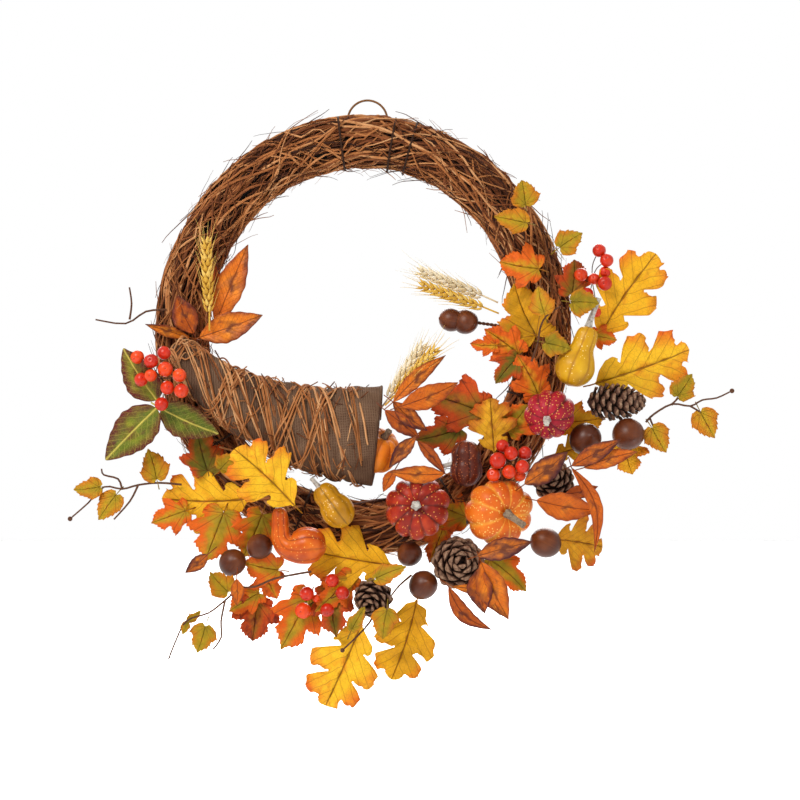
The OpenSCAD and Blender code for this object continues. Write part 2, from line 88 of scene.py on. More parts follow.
def set_stage():
    """The camera straight in front, a studio that is whiter behind than in front, and a pale floor
    well below the wreath with its own light."""
    scene = bpy.context.scene
    view_centre = Vector((0.0328, 0.0, -0.302))
    view_width = 0.794
    distance = 2.6
    object_depth = 0.05
    data = bpy.data.cameras.new("camera")
    data.sensor_width = 36.0
    data.lens = data.sensor_width * (distance - object_depth) / view_width
    camera = bpy.data.objects.new("camera", data)
    camera.location = view_centre - Vector((0, distance, 0))
    scene.collection.objects.link(camera)
    look_at(camera, view_centre)
    scene.camera = camera
    scene.view_settings.view_transform = "Standard"
    world = bpy.data.worlds.new("studio")
    world.use_nodes = True
    tree = world.node_tree
    sky = tree.nodes["Background"]
    split = tree.nodes.new("ShaderNodeSeparateXYZ")
    side = tree.nodes.new("ShaderNodeMapRange")
    side.inputs["From Min"].default_value = -0.9
    side.inputs["From Max"].default_value = 0.3
    side.inputs["To Min"].default_value = 0.3
    side.inputs["To Max"].default_value = 1.0
    tree.links.new(tree.nodes.new("ShaderNodeTexCoord").outputs["Generated"], split.inputs[0])
    tree.links.new(split.outputs["Y"], side.inputs["Value"])
    tree.links.new(side.outputs["Result"], sky.inputs["Strength"])
    sky.inputs["Color"].default_value = (1.0, 1.0, 1.0, 1.0)
    scene.world = world
    add_light("key", (-0.9, -1.6, 0.9), view_centre, 0.9, 34.0, (1.0, 0.96, 0.91))
    add_light("fill", (1.3, -1.4, 0.1), view_centre, 1.4, 4.0, (0.94, 0.97, 1.0))
    add_light("back", (0.6, 1.6, 0.9), view_centre, 1.2, 10.0, (1.0, 1.0, 1.0))
    add_light("backdrop", (0.0, 6.0, 2.2), (0.0, 6.01, -1.1), 6.0, 520.0, (1.0, 1.0, 1.0))
    floor_z = -1.1
    half = 12.0
    mesh = bpy.data.meshes.new("floor")
    mesh.from_pydata([(-half, -half, floor_z), (half, -half, floor_z), (half, half, floor_z),
                      (-half, half, floor_z)], [], [(0, 1, 2, 3)])
    floor = bpy.data.objects.new("floor", mesh)
    scene.collection.objects.link(floor)
    shade = Shader("floor_paint", roughness=0.9)
    grain = shade.noise(3.0, detail=3.0)
    shade.colour(shade.ramp(grain, [(0.0, "#f9f9f8"), (1.0, "#fdfdfc")]))
    mesh.materials.append(shade.material)


# ---- Shader building ----

def linear(hex_colour):
    """A linear RGBA from a colour written as #rrggbb."""
    out = []
    for k in (1, 3, 5):
        c = int(hex_colour[k:k + 2], 16) / 255
        out.append(c / 12.92 if c <= 0.04045 else ((c + 0.055) / 1.055) ** 2.4)
    return (*out, 1.0)


class Value:
    """A number in a shader that can be calculated with."""

    def __init__(self, shade, socket):
        self.shade = shade
        self.socket = socket

    def _op(self, kind, other=None, swap=False, clamp=False):
        node = self.shade.node("ShaderNodeMath")
        node.operation = kind
        node.use_clamp = clamp
        a, b = (other, self) if swap else (self, other)
        for k, v in enumerate((a, b)):
            if v is None:
                continue
            self.shade.feed(v, node.inputs[k])
        return Value(self.shade, node.outputs[0])

    def __add__(self, other):
        return self._op("ADD", other)

    __radd__ = __add__

    def __sub__(self, other):
        return self._op("SUBTRACT", other)

    def __rsub__(self, other):
        return self._op("SUBTRACT", other, swap=True)

    def __mul__(self, other):
        return self._op("MULTIPLY", other)

    __rmul__ = __mul__

    def __truediv__(self, other):
        return self._op("DIVIDE", other)

    def abs(self):
        return self._op("ABSOLUTE")

    def fract(self):
        return self._op("FRACT")

    def sine(self):
        return self._op("SINE")

    def most(self, other):
        return self._op("MAXIMUM", other)

    def clamp(self):
        return self._op("ADD", 0.0, clamp=True)

    def line(self, width):
        """1 where this distance is 0, falling to 0 at width."""
        return (1.0 - self / width).clamp()


class Shader:
    """A procedural material round one Principled shader."""

    def __init__(self, name, roughness=0.6, **constants):
        self.material = bpy.data.materials.new(name)
        self.material.use_nodes = True
        self.tree = self.material.node_tree
        self.bsdf = self.tree.nodes["Principled BSDF"]
        self.bsdf.inputs["Roughness"].default_value = roughness
        for key, value in constants.items():
            self.bsdf.inputs[key.replace("_", " ").title().replace("Ior", "IOR")].default_value = value
        self.place = self.node("ShaderNodeTexCoord").outputs["Object"]

    def node(self, kind):
        return self.tree.nodes.new(kind)

    def feed(self, value, socket):
        if isinstance(value, Value):
            value = value.socket
        if isinstance(value, bpy.types.NodeSocket):
            self.tree.links.new(value, socket)
        elif isinstance(value, str):
            socket.default_value = linear(value)
        else:
            socket.default_value = value

    def attribute(self, name):
        node = self.node("ShaderNodeAttribute")
        node.attribute_name = name
        return Value(self, node.outputs["Fac"])

    def vector(self, name):
        """An attribute's vector, and its first two numbers."""
        node = self.node("ShaderNodeAttribute")
        node.attribute_name = name
        split = self.node("ShaderNodeSeparateXYZ")
        self.tree.links.new(node.outputs["Vector"], split.inputs[0])
        return node.outputs["Vector"], Value(self, split.outputs[0]), Value(self, split.outputs[1])

    def noise(self, scale, detail=4.0, where=None, stretch=None, distortion=0.0):
        node = self.node("ShaderNodeTexNoise")
        node.inputs["Scale"].default_value = scale
        node.inputs["Detail"].default_value = detail
        node.inputs["Distortion"].default_value = distortion
        source = where if where is not None else self.place
        if stretch is not None:
            mapping = self.node("ShaderNodeMapping")
            mapping.inputs["Scale"].default_value = stretch
            self.tree.links.new(source, mapping.inputs["Vector"])
            source = mapping.outputs[0]
        self.tree.links.new(source, node.inputs["Vector"])
        return Value(self, node.outputs["Fac"])

    def cells(self, scale, where=None, feature="F1"):
        node = self.node("ShaderNodeTexVoronoi")
        node.feature = feature
        node.inputs["Scale"].default_value = scale
        self.tree.links.new(where if where is not None else self.place, node.inputs["Vector"])
        return Value(self, node.outputs["Distance"])

    def ramp(self, value, stops, kind="LINEAR"):
        node = self.node("ShaderNodeValToRGB")
        node.color_ramp.interpolation = kind
        while len(node.color_ramp.elements) < len(stops):
            node.color_ramp.elements.new(0.5)
        for element, (at, hex_colour) in zip(node.color_ramp.elements, stops):
            element.position = at
            element.color = linear(hex_colour)
        self.feed(value, node.inputs["Fac"])
        return node.outputs["Color"]

    def mix(self, share, a, b):
        node = self.node("ShaderNodeMix")
        node.data_type = "RGBA"
        self.feed(share, node.inputs[0])
        self.feed(a, node.inputs[6])
        self.feed(b, node.inputs[7])
        return node.outputs[2]

    def spread(self, value, low, high):
        """Maps low..high to 0..1, kept inside."""
        return ((value - low) / (high - low)).clamp()

    def colour(self, socket):
        self.feed(socket, self.bsdf.inputs["Base Color"])

    def rough(self, value, low, high):
        self.feed(value * (high - low) + low, self.bsdf.inputs["Roughness"])

    def bump(self, height, distance, strength=1.0):
        node = self.node("ShaderNodeBump")
        node.inputs["Strength"].default_value = strength
        node.inputs["Distance"].default_value = distance
        self.feed(height, node.inputs["Height"])
        self.tree.links.new(node.outputs["Normal"], self.bsdf.inputs["Normal"])


# ---- Materials ----

def vine_bark(name, stops):
    """Dry grape vine: each strand has its own tone from its tint, with long cracks and paler scuffs. On the
    ring the tint is also painted shade for deep strands and painted highlight for outer ones.
    """
    shade = Shader(name, 0.8, specular_ior_level=0.25)
    grain, _, _ = shade.vector("grain")
    fibre = shade.noise(1.0, 6.0, grain, (9.0, 0.35, 1.0), 0.6)
    patch = shade.noise(60.0, 3.0)
    # tint is each strand's tone; on the ring it also carries painted shade deep inside and painted
    # highlight on the outer strands.
    tone = shade.attribute("tint") * 0.62 + fibre * 0.5 + patch * 0.3 - 0.22
    shade.colour(shade.ramp(tone, stops))
    shade.rough(fibre, 0.65, 0.95)
    shade.bump(fibre + shade.noise(1.0, 3.0, grain, (3.0, 1.2, 1.0)) * 0.5, 0.0009, 0.9)
    return shade.material


def burlap_cloth():
    """Coarse dark burlap: two crossing yarns with uneven thickness, painted lighter on the yarn crests and
    dark in the holes between the yarns as painted shade.
    """
    shade = Shader("burlap", 0.95, specular_ior_level=0.1)
    weave, u, v = shade.vector("weave")
    wobble = shade.noise(0.5, 2.0, weave) * 2.2
    warp = (u * 6.2832 + wobble).sine().abs()
    weft = (v * 6.2832 + wobble).sine().abs()
    yarn = warp.most(weft)
    soil = shade.noise(35.0, 4.0)
    # The yarn height lightens the crests and darkens the holes between the yarns: painted shade of the
    # weave.
    shade.colour(shade.ramp(yarn * 0.55 + soil * 0.6 - 0.1, [
        (0.0, "#170e08"), (0.3, "#3a271c"), (0.62, "#634837"), (1.0, "#957860")]))
    shade.rough(soil, 0.85, 1.0)
    shade.bump(yarn + shade.noise(900.0, 2.0) * 0.4, 0.0008, 1.0)
    return shade.material


def gourd_skin(name, flesh, groove, speckle, gloss=0.42, density=260.0, cover=0.5):
    """Painted gourd or pumpkin skin: paler grooves, paint speckles and a faint mottle."""
    shade = Shader(name, gloss, specular_ior_level=0.3)
    mottle = shade.noise(45.0, 5.0)
    skin = shade.ramp(mottle, [(0.25, flesh[0]), (0.5, flesh[1]), (0.78, flesh[2])])
    lines = shade.spread(shade.attribute("groove") + (shade.noise(160.0, 4.0) - 0.5) * 0.7, 0.35, 0.95)
    skin = shade.mix(lines * 0.85, skin, groove)
    dots = shade.spread(cover * 0.42 - shade.cells(density) + (shade.noise(70.0, 3.0) - 0.5) * 0.35,
                        0.0, 0.05)
    skin = shade.mix(dots * 0.8, skin, speckle)
    shade.colour(skin)
    shade.rough(mottle, gloss - 0.08, gloss + 0.18)
    shade.bump(mottle * 0.6 + shade.noise(500.0, 3.0) * 0.4, 0.0006, 0.5)
    return shade.material


def stem_bark(name, dark, pale):
    """A woody stem with grooves along it."""
    shade = Shader(name, 0.6, specular_ior_level=0.35)
    fibre = shade.noise(420.0, 5.0, distortion=0.4)
    shade.colour(shade.ramp(fibre, [(0.25, dark), (0.55, pale), (0.85, pale)]))
    shade.rough(fibre, 0.45, 0.8)
    shade.bump(fibre, 0.0008, 0.8)
    return shade.material


def cone_scale():
    """Pinecone wood: darker toward the roots of the scales as painted shade where they lie under the next
    ones, brown on them and worn paler at their tips.
    """
    shade = Shader("pinecone_scale", 0.75, specular_ior_level=0.3)
    grain = shade.noise(380.0, 5.0)
    tip = shade.attribute("tip")
    # The tip value darkens the wood toward the roots of the scales: painted shade where they lie under the
    # next ones.
    wood = shade.ramp(grain + tip * 0.35 - 0.1, [(0.2, "#1f120c"), (0.55, "#4d3125"), (0.85, "#74503c")])
    worn = shade.spread(tip + (grain - 0.5) * 0.9, 0.7, 1.25)
    shade.colour(shade.mix(worn, wood, shade.ramp(grain, [(0.3, "#86644d"), (0.8, "#b39478")])))
    shade.rough(grain, 0.6, 0.9)
    shade.bump(grain, 0.0007, 0.8)
    return shade.material


def nut_shell():
    """Polished nut shell, clouded from dark to chestnut, with a dull paler base."""
    shade = Shader("nut_shell", 0.36, specular_ior_level=0.35)
    cloud = shade.noise(38.0, 5.0, distortion=0.4)
    fibre = shade.noise(1.0, 4.0, shade.vector("grain")[0], (60.0, 1.2, 1.0))
    shell = shade.ramp(cloud * 0.8 + fibre * 0.25 + shade.attribute("tip") * -0.25, [
        (0.15, "#260e05"), (0.45, "#54240c"), (0.7, "#7e4014"), (0.95, "#a4622a")])
    shade.colour(shade.mix(shade.spread(shade.attribute("tip"), 0.8, 0.95) * 0.7, shell, "#8a6238"))
    shade.rough(cloud, 0.3, 0.5)
    shade.bump(cloud + fibre * 0.25, 0.0005, 0.35)
    return shade.material


def berry_skin():
    shade = Shader("berry_skin", 0.26, specular_ior_level=0.4)
    cloud = shade.noise(110.0, 3.0)
    skin = shade.ramp(cloud * 0.6 + shade.attribute("tint") * 0.5, [
        (0.1, "#8a1206"), (0.5, "#c8260a"), (0.85, "#e2480e"), (1.0, "#ee7420")])
    shade.colour(shade.mix(shade.spread(shade.attribute("tip"), 0.55, 0.8), skin, "#2a120a"))
    shade.rough(cloud, 0.2, 0.42)
    shade.bump(cloud + shade.noise(700.0, 2.0) * 0.2, 0.0005, 0.3)
    return shade.material


def straw(name, stops):
    shade = Shader(name, 0.65, specular_ior_level=0.3)
    fibre = shade.noise(650.0, 4.0, distortion=0.5)
    shade.colour(shade.ramp(fibre * 0.55 + shade.attribute("tint") * 0.5, stops))
    shade.rough(fibre, 0.5, 0.85)
    shade.bump(fibre, 0.0004, 0.7)
    return shade.material


def wire_paper(name, stops):
    """Crepe paper twisted round a wire."""
    shade = Shader(name, 0.85, specular_ior_level=0.2)
    crease = shade.noise(700.0, 4.0, distortion=1.5)
    shade.colour(shade.ramp(crease, stops))
    shade.rough(crease, 0.7, 0.95)
    shade.bump(crease, 0.0004, 0.8)
    return shade.material


def leaf_cloth(name, body, edge, vein, veins, reach=(0.45, 1.0), blotch=None, amount=0.5, tipward=0.0,
               gloss=0.42):
    """Printed leaf cloth. body is the colours along its mottle, edge the colour that comes in from
    the margin (more so at the tip by tipward), vein its veins, blotch soft stains and gloss its
    lowest roughness."""
    shade = Shader(name, 0.5, specular_ior_level=0.25)
    leaf, x, y = shade.vector("leaf")
    side = y.abs()
    tint = shade.attribute("tint")
    mottle = shade.noise(3.2, 5.0, leaf, distortion=0.5)
    print_colour = shade.ramp(mottle * 0.8 + tint * 0.45 - 0.1, body)
    rim = (shade.attribute("edge") + (shade.noise(4.5, 5.0, leaf) - 0.5) * 0.9 + (tint - 0.5) * 0.3
           + (x - 0.5) * tipward)
    print_colour = shade.mix(shade.spread(rim, *reach), print_colour, edge)
    if blotch:
        patches = shade.noise(1.0, 5.0, leaf, (3.2, 6.5, 1.0), 0.8) + (tint - 0.5) * 0.16
        print_colour = shade.mix(shade.spread(patches, 0.60 - 0.2 * amount, 0.82 - 0.2 * amount) * 0.85,
                                 print_colour, blotch)
    if veins == "palmate":
        lines = side.line(0.014)
        for degrees in (38, 76):
            sine, cosine = math.sin(math.radians(degrees)), math.cos(math.radians(degrees))
            lines = lines.most((x * sine - side * cosine).abs().line(0.012))
        rib = ((x * 9.0 - side * 9.0).fract() - 0.5).abs().line(0.06) * 0.4
    else:
        spacing = {"oak": 7.0, "lance": 12.0, "laurel": 9.0}[veins]
        lines = side.line({"oak": 0.011, "lance": 0.010, "laurel": 0.022}[veins])
        wavy = (shade.noise(6.0, 2.0, leaf) - 0.5) * 0.5
        rib = ((x * spacing - side * spacing * 1.15 + wavy).fract() - 0.5).abs().line(0.055) * 0.7
    fine = shade.cells(22.0, leaf, "DISTANCE_TO_EDGE").line(0.05) * 0.35
    lines = lines.most(rib).most(fine)
    shade.colour(shade.mix(lines * 0.75, print_colour, vein))
    weave = shade.noise(1.0, 2.0, leaf, (220.0, 220.0, 1.0))
    shade.rough(mottle, gloss, gloss + 0.3)
    shade.bump(weave * 0.25 - lines * 0.9 + mottle * 0.3, 0.0006, 0.8)
    return shade.material


# ---- Mesh building ----

def unit(v):
    v = np.asarray(v, float)
    return v / max(np.linalg.norm(v), 1e-12)


def grid_faces(rows, columns, closed=False):
    """Quads of a grid of rows by columns; closed joins the last column to the first."""
    i, j = np.meshgrid(np.arange(rows - 1), np.arange(columns if closed else columns - 1), indexing="ij")
    k = (j + 1) % columns
    quads = np.stack([i * columns + j, i * columns + k, (i + 1) * columns + k, (i + 1) * columns + j], -1)
    return quads.reshape(-1, 4)


def capped_faces(rows, columns):
    """Quads of a closed grid of rows, with one face over each end."""
    faces = [list(f) for f in grid_faces(rows, columns, True)]
    return faces + [list(range(columns))[::-1], [(rows - 1) * columns + k for k in range(columns)]]


class Piece:
    """Gathers meshes with the same named per-point values into one object."""

    def __init__(self):
        self.points = []
        self.faces = []
        self.values = {}
        self.count = 0

    def add(self, points, faces, **values):
        points = np.asarray(points, float).reshape(-1, 3)
        self.points.append(points)
        self.faces += [[int(k) + self.count for k in f] for f in faces]
        for key, value in values.items():
            value = np.asarray(value, float)
            if value.ndim == 0:
                value = np.full(len(points), float(value))
            self.values.setdefault(key, []).append(value)
        self.count += len(points)

    def make(self, name, material):
        mesh = bpy.data.meshes.new(name)
        mesh.from_pydata(np.concatenate(self.points).tolist(), [], self.faces)
        for key, parts in self.values.items():
            data = np.concatenate(parts)
            if data.ndim == 1:
                mesh.attributes.new(key, "FLOAT", "POINT").data.foreach_set("value", data)
            else:
                mesh.attributes.new(key, "FLOAT_VECTOR", "POINT").data.foreach_set("vector", data.ravel())
        mesh.polygons.foreach_set("use_smooth", [True] * len(mesh.polygons))
        mesh.materials.append(material)
        mesh.update()
        obj = bpy.data.objects.new(name, mesh)
        bpy.context.scene.collection.objects.link(obj)
        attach(obj, "wreath")
        return obj

    def stand_in(self, name, material, node):
        """Makes the piece, in the place of a CAD node unless node is None."""
        obj = self.make(name, material)
        if node is not None:
            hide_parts(node)
        return obj


def tube(path, radii, sides=6, turn=0.0):
    """Points and faces of a closed tube along a path, with the way along and around at each point."""
    path = np.asarray(path, float)
    n = len(path)
    radii = np.broadcast_to(np.asarray(radii, float), (n,))
    tangents = np.gradient(path, axis=0)
    tangents /= np.maximum(np.linalg.norm(tangents, axis=1)[:, None], 1e-9)
    side = unit(np.cross(tangents[0], (0.3, 1, 0.2)))
    points = []
    for k in range(n):
        side = unit(side - np.dot(side, tangents[k]) * tangents[k])
        other = np.cross(tangents[k], side)
        a = turn + 2 * np.pi * np.arange(sides) / sides
        points.append(path[k] + radii[k] * (np.cos(a)[:, None] * side + np.sin(a)[:, None] * other))
    steps = np.r_[0, np.cumsum(np.linalg.norm(np.diff(path, axis=0), axis=1))]
    grain = np.zeros((n, sides, 3))
    grain[:, :, 0] = np.abs(np.arange(sides) / sides * 2 - 1)
    grain[:, :, 1] = steps[:, None] / GRAIN_LENGTH
    return np.concatenate(points), capped_faces(n, sides), grain.reshape(-1, 3)


def smooth_path(points, steps):
    """A smooth curve through a few points."""
    p = np.asarray(points, float)
    p = np.vstack([2 * p[0] - p[1], p, 2 * p[-1] - p[-2]])
    out = []
    for t in np.linspace(0, len(points) - 1, steps):
        i = min(int(t), len(points) - 2)
        f = t - i
        a, b, c, d = p[i:i + 4]
        out.append(0.5 * (2 * b + (c - a) * f + (2 * a - 5 * b + 4 * c - d) * f ** 2
                          + (3 * b - a - 3 * c + d) * f ** 3))
    return np.array(out)


def basis(axis, hint=(0, 0, 1)):
    """A 3x3 array whose columns are two across directions and the unit axis."""
    axis = unit(axis)
    across = np.cross(hint, axis)
    if np.linalg.norm(across) < 1e-3:
        across = np.cross((1, 0, 0), axis)
    across = unit(across)
    return np.column_stack([across, np.cross(axis, across), axis])


def islands(node):
    """The separate solids of a CAD node, each as an array of its points, from left to right."""
    mesh = bmesh.new()
    mesh.from_mesh(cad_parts[node].data)
    bmesh.ops.remove_doubles(mesh, verts=mesh.verts, dist=2e-6)
    seen = set()
    found = []
    for start in mesh.verts:
        if start in seen:
            continue
        seen.add(start)
        stack = [start]
        points = []
        while stack:
            vert = stack.pop()
            points.append(tuple(vert.co))
            for edge in vert.link_edges:
                other = edge.other_vert(vert)
                if other not in seen:
                    seen.add(other)
                    stack.append(other)
        found.append(np.array(points))
    mesh.free()
    return sorted(found, key=lambda p: round(float(p[:, 0].mean()), 5))


def middle(points):
    return (points.min(axis=0) + points.max(axis=0)) / 2


def node_box(node):
    low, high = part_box(node)
    return np.array(low), np.array(high)


def node_middle(node):
    low, high = node_box(node)
    return (low + high) / 2


# ---- The vine ring ----

class Ring:
    """The ring's centreline and the directions across it, from its CAD node."""

    def __init__(self):
        low, high = node_box("vine_ring")
        self.centre = (low + high) / 2
        self.r = (high[1] - low[1]) / 2
        self.rx = (high[0] - low[0]) / 2 - self.r
        self.rz = (high[2] - low[2]) / 2 - self.r

    def outward(self, theta):
        out = np.array([math.cos(theta) * self.rz, 0, math.sin(theta) * self.rx])
        return out / np.linalg.norm(out)

    def point(self, theta, phi, rho):
        """A point at angle theta round the ring, and phi and rho round and off its centreline.
        phi is 0 on the outside and a quarter turn on the front."""
        base = self.centre + np.array([self.rx * math.cos(theta), 0, self.rz * math.sin(theta)])
        return base + rho * (math.cos(phi) * self.outward(theta) + math.sin(phi) * np.array([0, -1, 0]))


def wander(rng, n, waves=3):
    """A smooth random curve of n values round 0, about 1 in size."""
    t = np.linspace(0, 2 * np.pi, n)
    out = np.zeros(n)
    for k in range(1, waves + 1):
        out += rng.normal() / k * np.sin(k * t * rng.uniform(0.5, 1.2) + rng.uniform(0, 6.28))
    return out


def add_strand(piece, rng, ring, radius, depth, arc, drift, dark, light):
    """One vine laid along the ring, drifting round it by drift turns for each turn of the ring.
    Its tone is between dark and light; the bundles set these lower for deep vines, as painted shade, and
    higher for outer ones, as painted highlight."""
    steps = max(7, int(arc * (1 + abs(drift) * 0.25) / 0.075))
    start = rng.uniform(0, 2 * np.pi)
    t = np.linspace(0, 1, steps)
    theta = start + arc * t
    phi = rng.uniform(0, 2 * np.pi) + drift * arc * t + 0.2 * wander(rng, steps, 5)
    rho = ring.r * depth - radius + 0.0014 * wander(rng, steps, 5)
    rho = np.minimum(rho, ring.r + 0.0022 - radius)
    path = [ring.point(a, b, c) for a, b, c in zip(theta, phi, rho)]
    ends = np.clip(np.minimum(t, 1 - t) * steps / 3 + 0.3, 0, 1)
    radii = radius * ends * (1 + 0.18 * wander(rng, steps, 6))
    points, faces, grain = tube(path, np.abs(radii) + 0.0002, 6, rng.uniform(0, 6))
    piece.add(points, faces, grain=grain, tint=rng.uniform(dark, light))


def add_whisker(piece, rng, ring, length, radius, swing):
    """A stray end that springs off the ring's surface and curls. There is none where the hanger
    loop swings: nearer than swing[0] to the middle and above swing[1]."""
    theta = rng.uniform(0, 2 * np.pi)
    phi = rng.uniform(-0.6, 3.74)
    way = rng.choice([-1, 1])
    steps = 9
    lift = rng.uniform(0.05, 0.42)
    sweep = rng.uniform(-1.6, 1.6)
    path = []
    for s in np.linspace(0, 1, steps):
        a = theta + way * s * length / ring.rx
        rise = ring.r * 0.95 + lift * length * s ** 1.4
        kink = 0.12 * math.sin(9 * s + theta * 7) * s
        path.append(ring.point(a, phi + sweep * length / ring.r * s * 0.5 + kink, rise))
    path = np.array(path)
    low, high = cad_bounds
    path = np.clip(path, np.array(low) - STRAY_LIMIT, np.array(high) + STRAY_LIMIT)
    if (np.abs(path[:, 0]) < swing[0]).any() and (path[:, 2] > swing[1]).any():
        return
    points, faces, grain = tube(path, radius * np.linspace(1, 0.35, steps), 4)
    piece.add(points, faces, grain=grain, tint=rng.uniform(0.15, 1.0))


# The vines of one bundle: how many, and the ranges of radius, depth in the ring, arc, drift and tone.
# Where the drift is never below 0, it goes either way round.
# The tone ranges hold painted light: low for the deep vines, as painted shade inside the ring, and high for
# the outer ones, as painted highlight.
STRANDS = ((7, (0.0018, 0.0026), (0.80, 0.95), (0.7, 2.4), (-0.9, 0.9), (0.1, 0.6)),
           (34, (0.0007, 0.0015), (0.84, 0.98), (0.5, 2.6), (-1.8, 1.8), (0.15, 0.75)),
           (34, (0.0006, 0.0013), (0.97, 1.06), (0.4, 1.8), (-3.2, 3.2), (0.5, 1.2)),
           (40, (0.0004, 0.0010), (0.98, 1.09), (0.15, 0.55), (2.5, 9.0), (0.4, 1.2)))


def make_ring(bark, painted_shade_core_bark):
    rng = np.random.default_rng(SEED)
    ring = Ring()
    core = Piece()
    around = 20
    steps = 120
    points = []
    for theta in np.linspace(0, 2 * np.pi, steps, endpoint=False):
        for k in range(around):
            phi = 2 * np.pi * k / around
            rough = 1 + 0.05 * math.sin(7 * phi + 5 * theta) + 0.03 * math.sin(11 * theta - 3 * phi)
            points.append(ring.point(theta, phi, ring.r * 0.74 * rough))
    faces = []
    for i in range(steps):
        j = (i + 1) % steps
        faces += [[i * around + k, i * around + (k + 1) % around, j * around + (k + 1) % around,
                   j * around + k] for k in range(around)]
    grain = np.array([[k / around * 6, i * 0.9, 0] for i in range(steps) for k in range(around)])
    core.add(points, faces, grain=grain, tint=0.1)
    # The core is painted near black: painted shade in the gaps between the vines round it.
    core.stand_in("ring_core", painted_shade_core_bark, "vine_ring")
    for b in range(8):
        piece = Piece()
        for count, radius, depth, arc, drift, tone in STRANDS:
            for _ in range(count):
                sizes = [rng.uniform(*span) for span in (radius, depth, arc)]
                way = 1 if drift[0] < 0 else rng.choice([-1, 1])
                add_strand(piece, rng, ring, *sizes, way * rng.uniform(*drift), *tone)
        piece.stand_in(f"ring_vines_{b + 1}", bark, None)
    piece = Piece()
    low, high = node_box("hanger_loop")
    swing = (high[0] + 0.004, low[2] - 0.006)
    whiskers = 1300
    for _ in range(whiskers):
        add_whisker(piece, rng, ring, rng.uniform(0.010, 0.045), rng.uniform(0.00028, 0.0008), swing)
    piece.stand_in("ring_whiskers", bark, None)


# ---- The cornucopia ----

HORN_BANDS = ("horn_mouth_band", "horn_middle_band", "horn_tail")


def horn_sections(count):
    """The horn's middle and its half sizes in Y and Z at planes across X, from mouth to tail."""
    whole = bmesh.new()
    for node in HORN_BANDS:
        whole.from_mesh(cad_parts[node].data)
    xs = [v.co.x for v in whole.verts]
    out = []
    for x in np.linspace(max(xs) - 0.0012, min(xs) + 0.0012, count):
        mesh = whole.copy()
        geom = mesh.verts[:] + mesh.edges[:] + mesh.faces[:]
        cut = bmesh.ops.bisect_plane(mesh, geom=geom, plane_co=(x, 0, 0), plane_no=(1, 0, 0))
        pts = np.array([v.co[:] for v in cut["geom_cut"] if isinstance(v, bmesh.types.BMVert)])
        mesh.free()
        half = (pts.max(axis=0) - pts.min(axis=0)) / 2
        out.append([x, *((pts.max(axis=0) + pts.min(axis=0)) / 2)[1:], *half[1:]])
    whole.free()
    return np.array(out)


class Horn:
    """The horn's shape as a function of the way along it (0 mouth, 1 tail) and the angle round it."""
    turns = 4.6

    def __init__(self):
        self.rows = horn_sections(70)

    def row(self, t):
        at = np.linspace(0, 1, len(self.rows))
        return np.array([np.interp(t, at, self.rows[:, k]) for k in range(5)])

    def point(self, t, a, grow=1.0, proud=0.0):
        x, y, z, half_y, half_z = self.row(t)
        lean = 0.05 * half_z * math.cos(a) * (1 - t)
        return np.array([x + lean, y + (half_y * grow + proud) * math.sin(a),
                         z + (half_z * grow + proud) * math.cos(a)])

    def winding(self, t):
        """The angle of the winding at t."""
        return 2 * np.pi * self.turns * t ** 0.9 + 0.5


